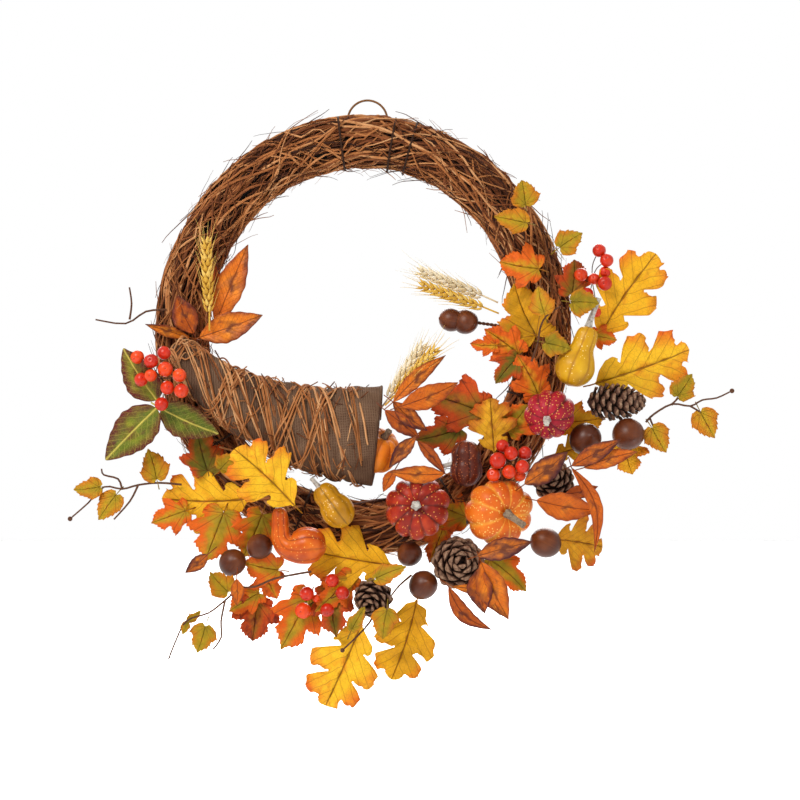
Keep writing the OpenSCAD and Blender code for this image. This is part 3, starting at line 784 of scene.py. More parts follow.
def make_horn(burlap, bark):
    rng = np.random.default_rng(SEED + 1)
    horn = Horn()
    columns = 96
    inner_rows, outer_rows = 14, 48
    seams = (0.33, 0.68)
    wall = 0.06
    plain = 0.08

    def row_points(points, weave, t, grow):
        for k in range(columns):
            a = 2 * np.pi * k / columns
            puff = abs(math.sin(a - horn.winding(t))) ** 0.6
            cross = abs(math.sin(a * 0.5 + horn.winding(t) * 0.7 + 1.0)) ** 0.5
            fade = min(1, max(0, (t - plain) / 0.06))
            swell = 1 - fade * (0.12 - 0.1 * puff - 0.06 * cross)
            crease = 0.014 * math.sin(9 * a + 21 * t) * fade + 0.008 * math.sin(17 * a - 34 * t)
            points.append(horn.point(t, a, (swell + crease) * grow))
            weave.append([a * 14.0 / np.pi * 3.2, t * 62.0, 0])

    edges = (0.0, *seams, 1.0)
    for band, node in enumerate(HORN_BANDS):
        points, weave = [], []
        start, end = edges[band], edges[band + 1]
        deep = end if band < 2 else 0.9
        for t in np.linspace(deep, start, inner_rows):
            row_points(points, weave, t, 1 - wall - 0.05 * t)
        for t in np.linspace(start, end, outer_rows):
            row_points(points, weave, t, 1.0)
        rows = inner_rows + outer_rows
        if band < 2:
            faces = [list(f) for f in grid_faces(rows, columns, True)]
            faces += [[(rows - 1) * columns + k, (rows - 1) * columns + (k + 1) % columns,
                       (k + 1) % columns, k] for k in range(columns)]
        else:
            faces = capped_faces(rows, columns)
        piece = Piece()
        piece.add(points, faces, weave=np.array(weave))
        piece.stand_in(node + "_burlap", burlap, node)

    piece = Piece()
    roll = [horn.point(0.0, a, 0.965) for a in np.linspace(0, 2 * np.pi, 97)]
    points, faces, grain = tube(roll, 0.0014, 8)
    piece.add(points, faces, weave=grain * (3.0, 6.0, 0.0))
    piece.stand_in("horn_rim_roll", burlap, "horn_rim_wire")

    piece = Piece()
    steps = 130
    for number in range(38):
        start = rng.uniform(plain * 0.7, 0.3 if number % 2 else 0.75)
        long = rng.uniform(0.25, 0.7)
        turns = rng.uniform(1.2, 4.4) * (-1 if number % 3 == 0 else 1)
        angle = rng.uniform(0, 2 * np.pi)
        for _ in range(rng.integers(1, 4)):
            radius = rng.uniform(0.0005, 0.0011)
            first = max(plain * 0.6, start + rng.uniform(-0.03, 0.03))
            t = np.linspace(first, min(0.985, first + long * rng.uniform(0.7, 1.1)), steps)
            a = angle + 2 * np.pi * turns * (t - first) + 0.16 * wander(rng, steps, 6)
            lift = 0.002 * np.abs(wander(rng, steps, 6))
            path = [horn.point(s, b, 0.95, radius + 0.0006 + u) for s, b, u in zip(t, a, lift)]
            points, faces, grain = tube(path, radius * (1 + 0.12 * wander(rng, steps, 6)), 6)
            piece.add(points, faces, grain=grain, tint=rng.uniform(0.7, 1.25))
    for _ in range(190):
        s = rng.uniform(0.1, 0.92)
        a = rng.uniform(0, 2 * np.pi)
        ahead = rng.uniform(0.01, 0.06) * rng.choice([-1, 1])
        turn = rng.uniform(-0.6, 0.6)
        rise = rng.uniform(0.002, 0.008)
        path = [horn.point(min(0.99, max(0.02, s + ahead * q)), a + turn * q, 0.97, 0.001 + rise * q)
                for q in np.linspace(0, 1, 6)]
        points, faces, grain = tube(path, rng.uniform(0.0003, 0.0008), 4)
        piece.add(points, faces, grain=grain, tint=rng.uniform(0.3, 1.0))
    piece.stand_in("horn_vines", bark, "horn_vine_wrap")


# ---- Pumpkins and gourds ----

def loft(spine, columns, rows, ribs=0, depth=0.0, hint=(0, 0, 1)):
    """A closed skin round a smooth spine of [x, y, z, radius] points, with ribs along it."""
    path = smooth_path(spine, rows)
    centre = path[:, :3]
    radii = np.maximum(path[:, 3], 0.0003)
    radii[0] = radii[-1] = 0.0003
    tangents = np.gradient(centre, axis=0)
    points, groove = [], []
    side = basis(tangents[0], hint)[:, 0]
    for i in range(rows):
        t = unit(tangents[i])
        side = unit(side - np.dot(side, t) * t)
        other = np.cross(t, side)
        for k in range(columns):
            a = 2 * np.pi * k / columns
            fold = 1 - abs(math.sin(ribs * a / 2)) ** 0.55 if ribs else 0.0
            r = radii[i] * (1 - depth * fold)
            points.append(centre[i] + r * (math.cos(a) * side + math.sin(a) * other))
            groove.append(fold)
    return points, capped_faces(rows, columns), groove


def pumpkin(name, material, ribs, depth):
    """A ribbed pumpkin round the axis from its middle to its stem's foot."""
    low, high = node_box(name)
    centre = (low + high) / 2
    stem_points = islands(name + "_stem")[0]
    reach = np.linalg.norm(stem_points - centre, axis=1)
    foot = stem_points[reach < reach.min() + 0.002].mean(axis=0)
    axis = unit(foot - centre)
    height = np.linalg.norm(foot - centre) + 0.003
    radius = (high - low).max() / 2
    frame3 = basis(axis)
    columns, rows = ribs * 14, 44
    points, groove = [], []
    for i in range(rows + 1):
        a = np.pi * i / rows
        ring = math.sin(a) ** 0.86
        z = height * math.cos(a)
        z -= height * 0.2 * math.exp(-(ring / 0.3) ** 2) * (1 if z > 0 else -1)
        for k in range(columns):
            b = 2 * np.pi * k / columns
            wave = 1 + 0.025 * math.sin(2 * b + 1) + 0.02 * math.sin(3 * b)
            fold = 1 - abs(math.sin(ribs * (b + 0.05 * math.sin(2 * b + 3)) / 2)) ** 0.6
            r = radius * ring * (1 - depth * fold * (0.5 + 0.5 * ring)) * wave * 0.985
            swell = z + 0.06 * height * (1 - fold) * ring * (1 if z > 0 else -1)
            points.append(centre + frame3 @ np.array([r * math.cos(b), r * math.sin(b), swell]))
            groove.append(fold)
    piece = Piece()
    piece.add(points, capped_faces(rows + 1, columns), groove=groove)
    piece.stand_in(name + "_body", material, name)


def grooved_stem(piece, foot, tip, radius, bend=0.12):
    """A dried stem: five grooves with a slow twist, a wide foot and a cut end."""
    foot, tip = np.asarray(foot), np.asarray(tip)
    length = np.linalg.norm(tip - foot)
    frame3 = basis(tip - foot, (0.3, 0.2, 1))
    columns, rows = 40, 18
    points = []
    for i in range(rows + 2):
        t = min(1.0, i / rows)
        r = radius * (1 + 0.5 * math.exp(-t * 7) - 0.15 * t + 0.18 * math.exp(-(1 - t) * 9))
        if i == rows + 1:
            r *= 0.35
        side = bend * length * math.sin(np.pi * t * 0.5) ** 2
        for k in range(columns):
            a = 2 * np.pi * k / columns
            star = 1 - 0.2 * abs(math.sin(2.5 * (a + 0.7 * t))) ** 2
            dip = -0.0008 if i == rows + 1 else 0.0
            local = [side + r * star * math.cos(a), r * star * math.sin(a), length * t + dip]
            points.append(foot + frame3 @ np.array(local))
    piece.add(points, capped_faces(rows + 2, columns))


def ends_of(points, near):
    """The two ends of a long solid, the one nearest to a point first, and its radius."""
    centre = points.mean(axis=0)
    axis = np.linalg.svd(points - centre, full_matrices=False)[2][0]
    along = (points - centre) @ axis
    radius = np.linalg.norm((points - centre) - along[:, None] * axis, axis=1).mean()
    a, b = centre + axis * along.min(), centre + axis * along.max()
    near = np.asarray(near)
    return (a, b, radius) if np.linalg.norm(a - near) < np.linalg.norm(b - near) else (b, a, radius)


def make_pumpkins(stems):
    skins = {
        "orange": (gourd_skin("pumpkin_orange_skin", ("#c04c0a", "#d8650e", "#e88218"), "#e9a83a",
                              "#f2c766", density=330.0, cover=0.62), 9, 0.13, "brown"),
        "red": (gourd_skin("pumpkin_red_skin", ("#5c0c04", "#9c2006", "#d24c0e"), "#3e0a04",
                           "#f0a347", density=300.0, cover=0.5), 10, 0.13, "pale"),
        "crimson": (gourd_skin("pumpkin_crimson_skin", ("#74081c", "#a01026", "#c02236"), "#4e0612",
                               "#ecb04a", density=360.0, cover=0.6), 9, 0.12, "pale"),
        "horn": (gourd_skin("pumpkin_horn_skin", ("#c8590a", "#e27a10", "#ee9a28"), "#c25c14",
                            "#e9a04a", density=300.0, cover=0.4), 8, 0.1, "brown"),
    }
    for kind, (material, ribs, depth, stem_kind) in skins.items():
        name = "pumpkin_" + kind
        pumpkin(name, material, ribs, depth)
        foot, tip, radius = ends_of(islands(name + "_stem")[0], node_middle(name))
        piece = Piece()
        grooved_stem(piece, foot, tip, radius * 0.9)
        piece.stand_in(name + "_stalk", stems[stem_kind], name + "_stem")


def make_gourds(stems):
    yellow = gourd_skin("gourd_yellow_skin", ("#a0740a", "#c9930c", "#dfae1c"), "#a46c0c", "#f4e08e",
                        0.34, 300.0, 0.42)
    amber = gourd_skin("gourd_amber_skin", ("#a2380a", "#cc580c", "#e67e1a"), "#842c0a", "#f4c060",
                       0.3, 300.0, 0.4)
    green = gourd_skin("gourd_green_skin", ("#8e5e08", "#bc820a", "#d89c14"), "#7e560a", "#f2d890",
                       0.3, 300.0, 0.36)
    rust = gourd_skin("gourd_rust_skin", ("#3f160b", "#5f2412", "#7e371b"), "#32100a", "#b8663a",
                      0.4, 420.0, 0.6)

    def build(node, material, spine, ribs, depth):
        piece = Piece()
        points, faces, groove = loft(spine, 84, 64, ribs, depth, (0, 1, 0))
        piece.add(points, faces, groove=groove)
        piece.stand_in(node + "_body", material, node)

    low, high = node_box("gourd_bottle")
    y = (low[1] + high[1]) / 2
    body = np.array([low[0] + 0.020, y, low[2] + 0.020])
    neck = np.array([high[0] - 0.0112, y, high[2] - 0.0115])
    up = unit(neck - body)

    def at(base, step, r):
        return [*(base + up * step), r]

    build("gourd_bottle", yellow,
          [at(body, step, r) for step, r in
           ((-0.0195, 0.0), (-0.0165, 0.0105), (-0.009, 0.0175), (0.001, 0.0198), (0.011, 0.0165))]
          + [at(neck, step, r) for step, r in
             ((-0.0115, 0.0118), (-0.003, 0.0113), (0.005, 0.0100), (0.0092, 0.0062), (0.0105, 0.0))],
          7, 0.03)

    low, high = node_box("gourd_crookneck")
    y = (low[1] + high[1]) / 2
    x, z = low[0], high[2]
    build("gourd_crookneck", amber,
          [[x + across, y, z - down, r] for across, down, r in
           ((0.0085, 0.0005, 0.0), (0.0085, 0.003, 0.0055), (0.0085, 0.0085, 0.0077),
            (0.0088, 0.020, 0.0086), (0.0098, 0.031, 0.0098), (0.0155, 0.0385, 0.0125),
            (0.025, 0.040, 0.0165), (0.0355, 0.0385, 0.0186), (0.046, 0.0385, 0.0155),
            (0.0525, 0.039, 0.008), (0.0545, 0.039, 0.0))], 9, 0.05)

    low, high = node_box("gourd_squat")
    small = np.array([low[0] + 0.013, 0, high[2] - 0.013])
    small[1] = node_middle("gourd_squat")[1] + 0.001
    big = np.array([high[0] - 0.017, small[1] - 0.002, low[2] + 0.017])
    d = unit(big - small)
    build("gourd_squat", green,
          [[*(base + d * step), r] for base, step, r in
           ((small, -0.0125, 0.0), (small, -0.0098, 0.0082), (small, -0.002, 0.0128),
            (small, 0.006, 0.0128), (big, -0.009, 0.0152), (big, 0.0, 0.0170), (big, 0.009, 0.0140),
            (big, 0.0150, 0.0072), (big, 0.0168, 0.0))], 8, 0.1)

    low, high = node_box("gourd_rust")
    y = (low[1] + high[1]) / 2
    x = (low[0] + high[0]) / 2
    build("gourd_rust", rust,
          [[x, y, end + step, r] for end, step, r in
           ((high[2], -0.0005, 0.0), (high[2], -0.003, 0.0085), (high[2], -0.011, 0.0146),
            (high[2], -0.021, 0.0148), (low[2], 0.021, 0.0160), (low[2], 0.012, 0.0158),
            (low[2], 0.0035, 0.0092), (low[2], 0.0005, 0.0))], 7, 0.1)

    bodies = [node_middle(n) for n in ("gourd_bottle", "gourd_crookneck", "gourd_squat", "gourd_rust")]
    for k, points in enumerate(islands("gourd_stems")):
        near = min(bodies, key=lambda c: np.linalg.norm(points.mean(axis=0) - c))
        foot, tip, radius = ends_of(points, near)
        piece = Piece()
        grooved_stem(piece, foot, tip, radius * 0.95, bend=0.1)
        piece.stand_in(f"gourd_stalk_{k + 1}", stems["pale"], "gourd_stems")


# ---- Pinecones, nuts, berries and wheat ----

def add_scale(piece, place, out, up, length, width, thick):
    """One pinecone scale from its root at place, along out, with a thick knob at its tip."""
    rows, columns = 7, 7
    across = unit(np.cross(up, out))
    shape = []
    for sheet in (1, -1):
        for i in range(rows):
            v = i / (rows - 1)
            half = width / 2 * (0.35 + 0.65 * math.sin(v * 1.9)) * (1 if v < 0.86 else 0.62)
            for j in range(columns):
                u = 2 * j / (columns - 1) - 1
                knob = math.exp(-((v - 0.86) / 0.12) ** 2) * (1 - u * u)
                swell = (1 - abs(u) ** 3) * (0.5 + 0.3 * v) + (0.9 * knob if sheet > 0 else 0)
                lift = thick * sheet * swell
                cup = 0.18 * width * (u * u) * v
                reach = length * (v - 0.05 * u * u * v)
                rise = lift + cup + 0.1 * length * v * v
                shape.append(place + out * reach + across * half * u + up * rise)
    n = rows * columns
    faces = [list(f) for f in grid_faces(rows, columns)]
    faces += [[k + n for k in f][::-1] for f in faces[:(rows - 1) * (columns - 1)]]
    edge = [*range(columns), *range(2 * columns - 1, n, columns), *range(n - 2, n - columns - 1, -1),
            *range(n - 2 * columns, columns - 1, -columns)]
    faces += [[edge[k], edge[k - 1], edge[k - 1] + n, edge[k] + n] for k in range(len(edge))]
    tip = np.tile(np.repeat(np.linspace(0, 1, rows) ** 3, columns), 2)
    piece.add(shape, [f[::-1] for f in faces], tip=tip)


def pinecone(node, axis, scales, material):
    """Scales in the spiral of a real cone, round the axis of its CAD body."""
    rng = np.random.default_rng(SEED + scales)
    low, high = node_box(node)
    centre = (low + high) / 2
    frame3 = basis(axis)
    points = islands(node)[0] - centre
    along = points @ frame3[:, 2]
    half = np.abs(along).max()
    radius = np.linalg.norm(points - along[:, None] * frame3[:, 2], axis=1).max()
    piece = Piece()
    core = loft([[*(centre + frame3[:, 2] * half * s), radius * r] for s, r in
                 ((-0.85, 0.0), (-0.7, 0.4), (-0.2, 0.6), (0.3, 0.5), (0.7, 0.25), (0.85, 0.0))], 24, 20)
    # The core gets the dark root colour: painted shade between the scales.
    piece.add(core[0], core[1], tip=0.0)
    for k in range(scales):
        s = (k + 0.5) / scales
        z = -0.9 + 1.85 * s
        belly = math.sqrt(max(0.0, 1 - z * z)) * (1 - 0.12 * z)
        a = k * GOLDEN_ANGLE + rng.normal() * 0.04
        side = frame3 @ np.array([math.cos(a), math.sin(a), 0])
        tilt = math.radians(8 + 70 * max(0.0, s) ** 1.4) * 0.85
        out = unit(side * math.cos(tilt) + frame3[:, 2] * math.sin(tilt))
        up = unit(frame3[:, 2] * math.cos(tilt) - side * math.sin(tilt))
        length = radius * (0.34 + 0.42 * belly)
        inset = max(0.03, belly * 0.98 - 0.42 * (0.3 + 0.7 * belly))
        root = centre + frame3[:, 2] * half * z * 0.86 + side * radius * inset
        width = radius * (0.36 + 0.32 * belly)
        add_scale(piece, root - out * length * 0.2, out, up, length, width, radius * 0.085)
    piece.stand_in(node + "_scales", material, node)


def nut(name, node, centre, axis, radius, material):
    """A nut with a small point at its front end, round an axis."""
    frame3 = basis(axis)
    columns, rows = 40, 34
    shape, tip, grain = [], [], []
    for i in range(rows + 1):
        a = np.pi * i / rows
        ring = math.sin(a)
        z = math.cos(a) * 1.08 + 0.1 * math.exp(-(ring / 0.16) ** 2) * (1 if i < rows / 2 else -0.5)
        for j in range(columns):
            b = 2 * np.pi * j / columns
            r = radius * ring * (1 + 0.02 * math.sin(2 * b) + 0.012 * math.sin(3 * b + 2))
            shape.append(centre + frame3 @ np.array([r * math.cos(b), r * math.sin(b), radius * z]))
            tip.append(i / rows)
            grain.append([abs(2 * j / columns - 1), i / rows, 0])
    piece = Piece()
    piece.add(shape, capped_faces(rows + 1, columns), tip=tip, grain=np.array(grain))
    piece.stand_in(name, material, node)


def make_nuts(material, wires):
    for node in ("nuts_right", "nut_corner", "nuts_middle", "nuts_left"):
        for k, points in enumerate(islands(node)):
            centre = middle(points)
            half = np.linalg.norm(points - centre, axis=1)
            axis = (points - centre)[half.argmax()]
            axis = unit(axis if axis[1] < 0 else -axis)
            nut(f"{node}_shell_{k + 1}", node, centre, axis, half.max() / 1.12, material)
    low, high = node_box("nuts_twin")
    corner = np.array([low[0], low[1], high[2]])
    for k, (step, axis, radius) in enumerate((
            ((0.0125, 0.015, -0.0125), (-0.9, -0.35, 0.1), 0.0118),
            ((0.0265, 0.013, -0.0145), (0.5, -0.8, -0.2), 0.0124))):
        nut(f"nuts_twin_shell_{k + 1}", "nuts_twin", corner + step, axis, radius, material)
    start = corner + (0.0385, 0.014, -0.0155)
    end = np.array([high[0], corner[1] + 0.022, corner[2] - 0.0225])
    piece = Piece()
    for k in (0, 1):
        twist = [start + (end - start) * s + 0.0009 * np.array([0, math.cos(40 * s + np.pi * k),
                 math.sin(40 * s + np.pi * k)]) for s in np.linspace(0, 1, 60)]
        points, faces, _ = tube(twist, 0.0009, 6)
        piece.add(points, faces)
    piece.stand_in("nuts_twin_wire", wires, "nuts_twin")


def make_berries(material, wires):
    rng = np.random.default_rng(SEED + 3)
    for node in ("berries_left", "berries_top", "berries_centre", "berries_lower"):
        piece = Piece()
        stalks = Piece()
        hub = node_middle(node) + np.array([0, 0.022, 0])
        for points in islands(node):
            centre = middle(points)
            radius = (points.max(axis=0) - points.min(axis=0)).max() / 2 * 1.06
            axis = unit([rng.normal() * 0.45, -1, rng.normal() * 0.45])
            frame3 = basis(axis)
            rows, columns = 16, 24
            shape, tip = [], []
            for i in range(rows + 1):
                a = np.pi * i / rows
                ring = math.sin(a)
                z = math.cos(a) * (1 - 0.16 * math.exp(-(ring / 0.22) ** 2))
                for j in range(columns):
                    b = 2 * np.pi * j / columns
                    spot = np.array([ring * math.cos(b), ring * math.sin(b), z])
                    shape.append(centre + radius * (frame3 @ spot))
                    tip.append(math.exp(-(a / 0.2) ** 2) * (0.8 + 0.2 * math.sin(5 * b)))
            piece.add(shape, capped_faces(rows + 1, columns), tip=tip, tint=rng.uniform(0, 1))
            back = centre + np.array([0, radius * 0.9, 0])
            path = smooth_path([back, (back + hub) / 2 + rng.normal(size=3) * 0.002, hub], 8)
            tube_points, tube_faces, _ = tube(path, 0.0005, 5)
            stalks.add(tube_points, tube_faces)
        piece.stand_in(node + "_fruit", material, node)
        stalks.stand_in(node + "_wires", wires, None)


def add_kernel(piece, place, out, up, length, width, tint):
    """One husk of wheat, pointed at its outer end."""
    frame3 = basis(out, up)
    rows, columns = 8, 8
    shape = []
    for i in range(rows + 1):
        t = i / rows
        r = width / 2 * math.sin(np.pi * t ** 0.75) * (1.05 - 0.35 * t) + 0.0001
        for j in range(columns):
            b = 2 * np.pi * j / columns
            shape.append(place + frame3 @ np.array([r * math.cos(b), 0.75 * r * math.sin(b), length * t]))
    piece.add(shape, capped_faces(rows + 1, columns), tint=tint)


def make_wheat(cream, gold):
    rng = np.random.default_rng(SEED + 4)
    low_limit, high_limit = np.array(cad_bounds[0]), np.array(cad_bounds[1])
    for node in ("wheat_left", "wheat_top", "wheat_mouth"):
        ears = islands(node)
        front_y = min(points[:, 1].mean() for points in ears)
        for k, points in enumerate(ears):
            centre = points.mean(axis=0)
            axis = np.linalg.svd(points - centre, full_matrices=False)[2][0]
            along = (points - centre) @ axis
            if abs(along.max()) > abs(along.min()):
                axis, along = -axis, -along
            foot = centre + axis * along.min()
            tip = centre + axis * along.max()
            width = np.linalg.norm(points - centre - np.outer(along, axis), axis=1).max() * 2
            front = np.array([0, -1, 0])
            side = unit(np.cross(axis, front))
            ear_start = 0.2
            piece = Piece()
            stalk = [foot + (tip - foot) * s + side * 0.002 * math.sin(2 * s)
                     for s in np.linspace(0, 0.95, 24)]
            tube_points, tube_faces, _ = tube(stalk, 0.0009, 6)
            piece.add(tube_points, tube_faces, tint=0.4)
            whorls = 13
            for i in range(whorls):
                s = ear_start + (0.97 - ear_start) * i / whorls
                place = foot + (tip - foot) * s
                fat = math.sin(np.pi * (0.12 + 0.8 * i / whorls)) ** 0.6
                for q in range(5):
                    a = 2 * np.pi * q / 5 + i * 0.63
                    around = math.cos(a) * side + math.sin(a) * front
                    out = unit(axis * 0.86 + around * 0.5)
                    tone = rng.uniform(0.2, 1.0)
                    length = width * 0.78 * (0.8 + 0.3 * fat)
                    root = place + around * width * 0.12
                    add_kernel(piece, root, out, around, length, width * 0.32 * fat + 0.001, tone)
                    if q % 2 == i % 2:
                        start = root + out * length * 0.95
                        reach = rng.uniform(0.010, 0.022)
                        way = unit(axis + around * 0.22 + rng.normal(size=3) * 0.05)
                        awn = [start + way * reach * t + around * 0.002 * t * t
                               for t in np.linspace(0, 1, 5)]
                        awn = np.clip(awn, low_limit - STRAY_LIMIT, high_limit + STRAY_LIMIT)
                        awn_points, awn_faces, _ = tube(awn, 0.00022 * np.linspace(1.2, 0.4, 5), 4)
                        piece.add(awn_points, awn_faces, tint=0.9)
            material = gold if points[:, 1].mean() == front_y else cream
            piece.stand_in(f"{node}_ear_{k + 1}", material, node)


# ---- Leaves ----

def read_leaves(node):
    """Each leaf's base, direction, length and width, from the blade and stalk of its solid."""
    blade_half = 0.00042
    stalk = 0.009
    out = []
    for points in islands(node):
        y = np.median(points[:, 1])
        off = np.abs(points[:, 1] - y)
        rod = points[off > blade_half]
        blade = points[off <= blade_half]
        centre = rod.mean(axis=0)
        way = np.linalg.svd(rod[:, [0, 2]] - centre[[0, 2]], full_matrices=False)[2][0]
        if (blade.mean(axis=0)[[0, 2]] - centre[[0, 2]]) @ way < 0:
            way = -way
        along = (rod[:, [0, 2]] - centre[[0, 2]]) @ way
        start = centre[[0, 2]] + way * along.min()
        base = start + way * stalk
        blade_along = (blade[:, [0, 2]] - base) @ way
        across = (blade[:, [0, 2]] - base) @ np.array([-way[1], way[0]])
        out.append({"base": np.array([base[0], y, base[1]]), "way": np.array([way[0], 0, way[1]]),
                    "length": blade_along.max(), "width": 2 * np.abs(across).max()})
    return out


# Half outlines of the lobed leaves, from stalk to tip: the way along the leaf and its half width
OAK_HALF = ((0.0, 0.03), (0.06, 0.1), (0.1, 0.34), (0.19, 0.5), (0.26, 0.53), (0.28, 0.36), (0.31, 0.25),
            (0.36, 0.4), (0.4, 0.74), (0.46, 0.96), (0.52, 0.92), (0.58, 1.0), (0.63, 0.84), (0.61, 0.54),
            (0.61, 0.34), (0.66, 0.34), (0.7, 0.6), (0.77, 0.78), (0.82, 0.68), (0.88, 0.7), (0.9, 0.5),
            (0.87, 0.32), (0.9, 0.26), (0.95, 0.31), (0.97, 0.18), (1.0, 0.0))
MAPLE_HALF = ((0.0, 0.0), (-0.08, 0.16), (-0.15, 0.4), (-0.06, 0.64), (0.08, 0.62), (0.16, 0.56),
              (0.26, 0.84), (0.46, 1.0), (0.49, 0.76), (0.5, 0.46), (0.6, 0.52), (0.7, 0.54), (0.8, 0.38),
              (0.88, 0.2), (1.0, 0.0))
IVY_HALF = ((0.0, 0.0), (-0.12, 0.18), (-0.1, 0.48), (0.06, 0.8), (0.32, 1.0), (0.44, 0.72), (0.58, 0.66),
            (0.74, 0.46), (0.86, 0.22), (1.0, 0.0))


def lobed_flat(rng, half, slant, teeth, bite):
    """Flat points of a lobed leaf. Each side's outline varies a little, is cut with fine teeth, and is
    joined to the midrib by lines that run back to the stalk by slant, so that nothing folds over."""
    samples, rings = 110, 6
    points, edge = [], []
    columns = []
    for side in (1, -1):
        shape = np.array(half, float)
        shape[1:-1] += rng.normal(size=(len(half) - 2, 2)) * (0.012, 0.035)
        steps = np.r_[0, np.cumsum(np.linalg.norm(np.diff(shape * (1, 0.5), axis=0), axis=1))]
        at = np.linspace(0, steps[-1], samples)
        line = np.stack([np.interp(at, steps, shape[:, k]) for k in (0, 1)], 1)
        soft = line.copy()
        soft[1:-1] = (line[:-2] + 2 * line[1:-1] + line[2:]) / 4
        saw = ((at / steps[-1] * teeth) % 1) * bite * np.clip(soft[:, 1] * 4, 0, 1)
        out = soft + np.stack([saw * 0.45, saw * 0.8], 1)
        out[0, 1] = out[-1, 1] = 0.0
        root = np.maximum.accumulate(np.clip(soft[:, 0] - slant * soft[:, 1], 0, 0.98))
        spine = np.stack([root, np.zeros(samples)], 1)
        columns.append((out, spine, side))
    faces = []
    for number, (out, spine, side) in enumerate(columns):
        for k in range(samples):
            for j in range(rings + 1):
                share = j / rings
                spot = spine[k] * (1 - share) + out[k] * share
                points.append([spot[0], spot[1] * side])
                edge.append(share * min(1.0, 0.35 + abs(out[k][1])))
        quads = grid_faces(samples, rings + 1) + number * samples * (rings + 1)
        faces += [list(q) if side > 0 else list(q)[::-1] for q in quads]
    return points, edge, faces


def blade_flat(widest, point):
    """Flat points of a plain pointed blade."""
    rows, half_columns = 48, 5
    points, edge = [], []
    for i in range(rows + 1):
        u = i / rows
        half = 0.5 * math.sin(math.pi * u ** widest) ** point + 0.012
        ripple = 1 + 0.03 * math.sin(38 * u)
        for j in range(-half_columns, half_columns + 1):
            v = j / half_columns
            points.append([u, v * half * ripple])
            edge.append(abs(v))
    return points, edge, grid_faces(rows + 1, 2 * half_columns + 1)


KINDS = {
    "oak": {"flat": lambda rng: lobed_flat(rng, OAK_HALF, 0.3, 15, 0.05), "fold": 0.10, "droop": 0.12,
            "wave": 0.06, "stalk": 0.0006},
    "maple": {"flat": lambda rng: lobed_flat(rng, MAPLE_HALF, 0.7, 20, 0.07), "fold": 0.16, "droop": 0.18,
              "wave": 0.06, "stalk": 0.0006},
    "ivy": {"flat": lambda rng: lobed_flat(rng, IVY_HALF, 0.7, 10, 0.08), "fold": 0.14, "droop": 0.14,
            "wave": 0.05, "stalk": 0.0005},
    "lance": {"flat": lambda rng: blade_flat(0.85, 1.0), "fold": 0.26, "droop": 0.16, "wave": 0.05,
              "stalk": 0.0006},
    "laurel": {"flat": lambda rng: blade_flat(0.72, 0.8), "fold": 0.2, "droop": 0.14, "wave": 0.05,
               "stalk": 0.0008},
}


def make_leaf(name, node, slot, spec, kind, material, seed, tip_out, roll, bow):
    """One cloth leaf on its CAD leaf's base, line and width. tip_out leans the tip to the front and
    roll turns it about its own line, in degrees; bow bends it sideways."""
    rng = np.random.default_rng(seed)
    shape = KINDS[kind]
    flat, edge, faces = shape["flat"](rng)
    flat = np.array(flat)
    length, width = spec["length"], spec["width"]
    scale_x = length / flat[:, 0].max()
    scale_y = width / 2 / np.abs(flat[:, 1]).max()
    x = flat[:, 0] * scale_x
    y = flat[:, 1] * scale_y
    u = x / length
    v = np.abs(y) / (width / 2)
    fold = shape["fold"] * rng.uniform(0.4, 1.3) * rng.choice([1, 1, 1, -0.6])
    droop = shape["droop"] * rng.uniform(-0.5, 1.0)
    waves = rng.uniform(0, 6.28, 3)
    z = fold * np.abs(y)
    z += -droop * length * np.clip(u, 0, None) ** 2
    z += shape["wave"] * width * v ** 1.5 * np.sin(7.5 * u + waves[0] + (y > 0) * 2.1)
    z += 0.02 * width * np.sin(17 * u + waves[1]) * v
    z += 0.012 * width * np.sin(29 * u + 11 * y / width + waves[2])
    y = y + bow * length * np.sin(np.pi * np.clip(u, 0, 1))
    local = np.stack([x, y, z], axis=1)
    stalk_path = np.array([[-0.011, 0, -0.004], [-0.005, 0, -0.0008], [0.0, 0, 0.0]])
    lean = Matrix.Rotation(math.radians(-tip_out), 3, "Y") @ Matrix.Rotation(math.radians(roll), 3, "X")
    lean = np.array(lean)
    way = spec["way"]
    frame3 = np.column_stack([way, np.cross((0, -1, 0), way), (0, -1, 0)])
    turn = frame3 @ lean
    piece = Piece()
    plan = np.stack([u, flat[:, 1] * scale_y / length, np.zeros(len(flat))], 1)
    tint = rng.uniform(0, 1)
    piece.add(spec["base"] + local @ turn.T, faces, leaf=plan, edge=np.array(edge), tint=tint)
    rib_u = np.linspace(0, 0.9, 14)
    order = np.abs(flat[:, 1]).argsort(kind="stable")
    middle_line = local[order[np.abs(flat[order, 1]) < 1e-6]]
    middle_line = middle_line[middle_line[:, 0].argsort()]
    if len(middle_line) > 20 and kind in ("oak", "lance", "laurel"):
        take = (rib_u * (len(middle_line) - 1)).astype(int)
        rib = np.vstack([stalk_path[:2], middle_line[take] + [0, 0, 0.0001]])
    else:
        rib = stalk_path
    radii = shape["stalk"] * np.linspace(1.0, 0.35, len(rib)) * (0.6 if kind == "lance" else 1)
    points, tube_faces, _ = tube(spec["base"] + rib @ turn.T, radii, 6)
    piece.add(points, tube_faces, leaf=np.tile([0.3, 0.0, 0.0], (len(points), 1)), edge=0.0, tint=tint)
    thick = piece.stand_in(name, material, node).modifiers.new("cloth", "SOLIDIFY")
    thick.thickness = CLOTH_THICKNESS
    thick.offset = 0.0


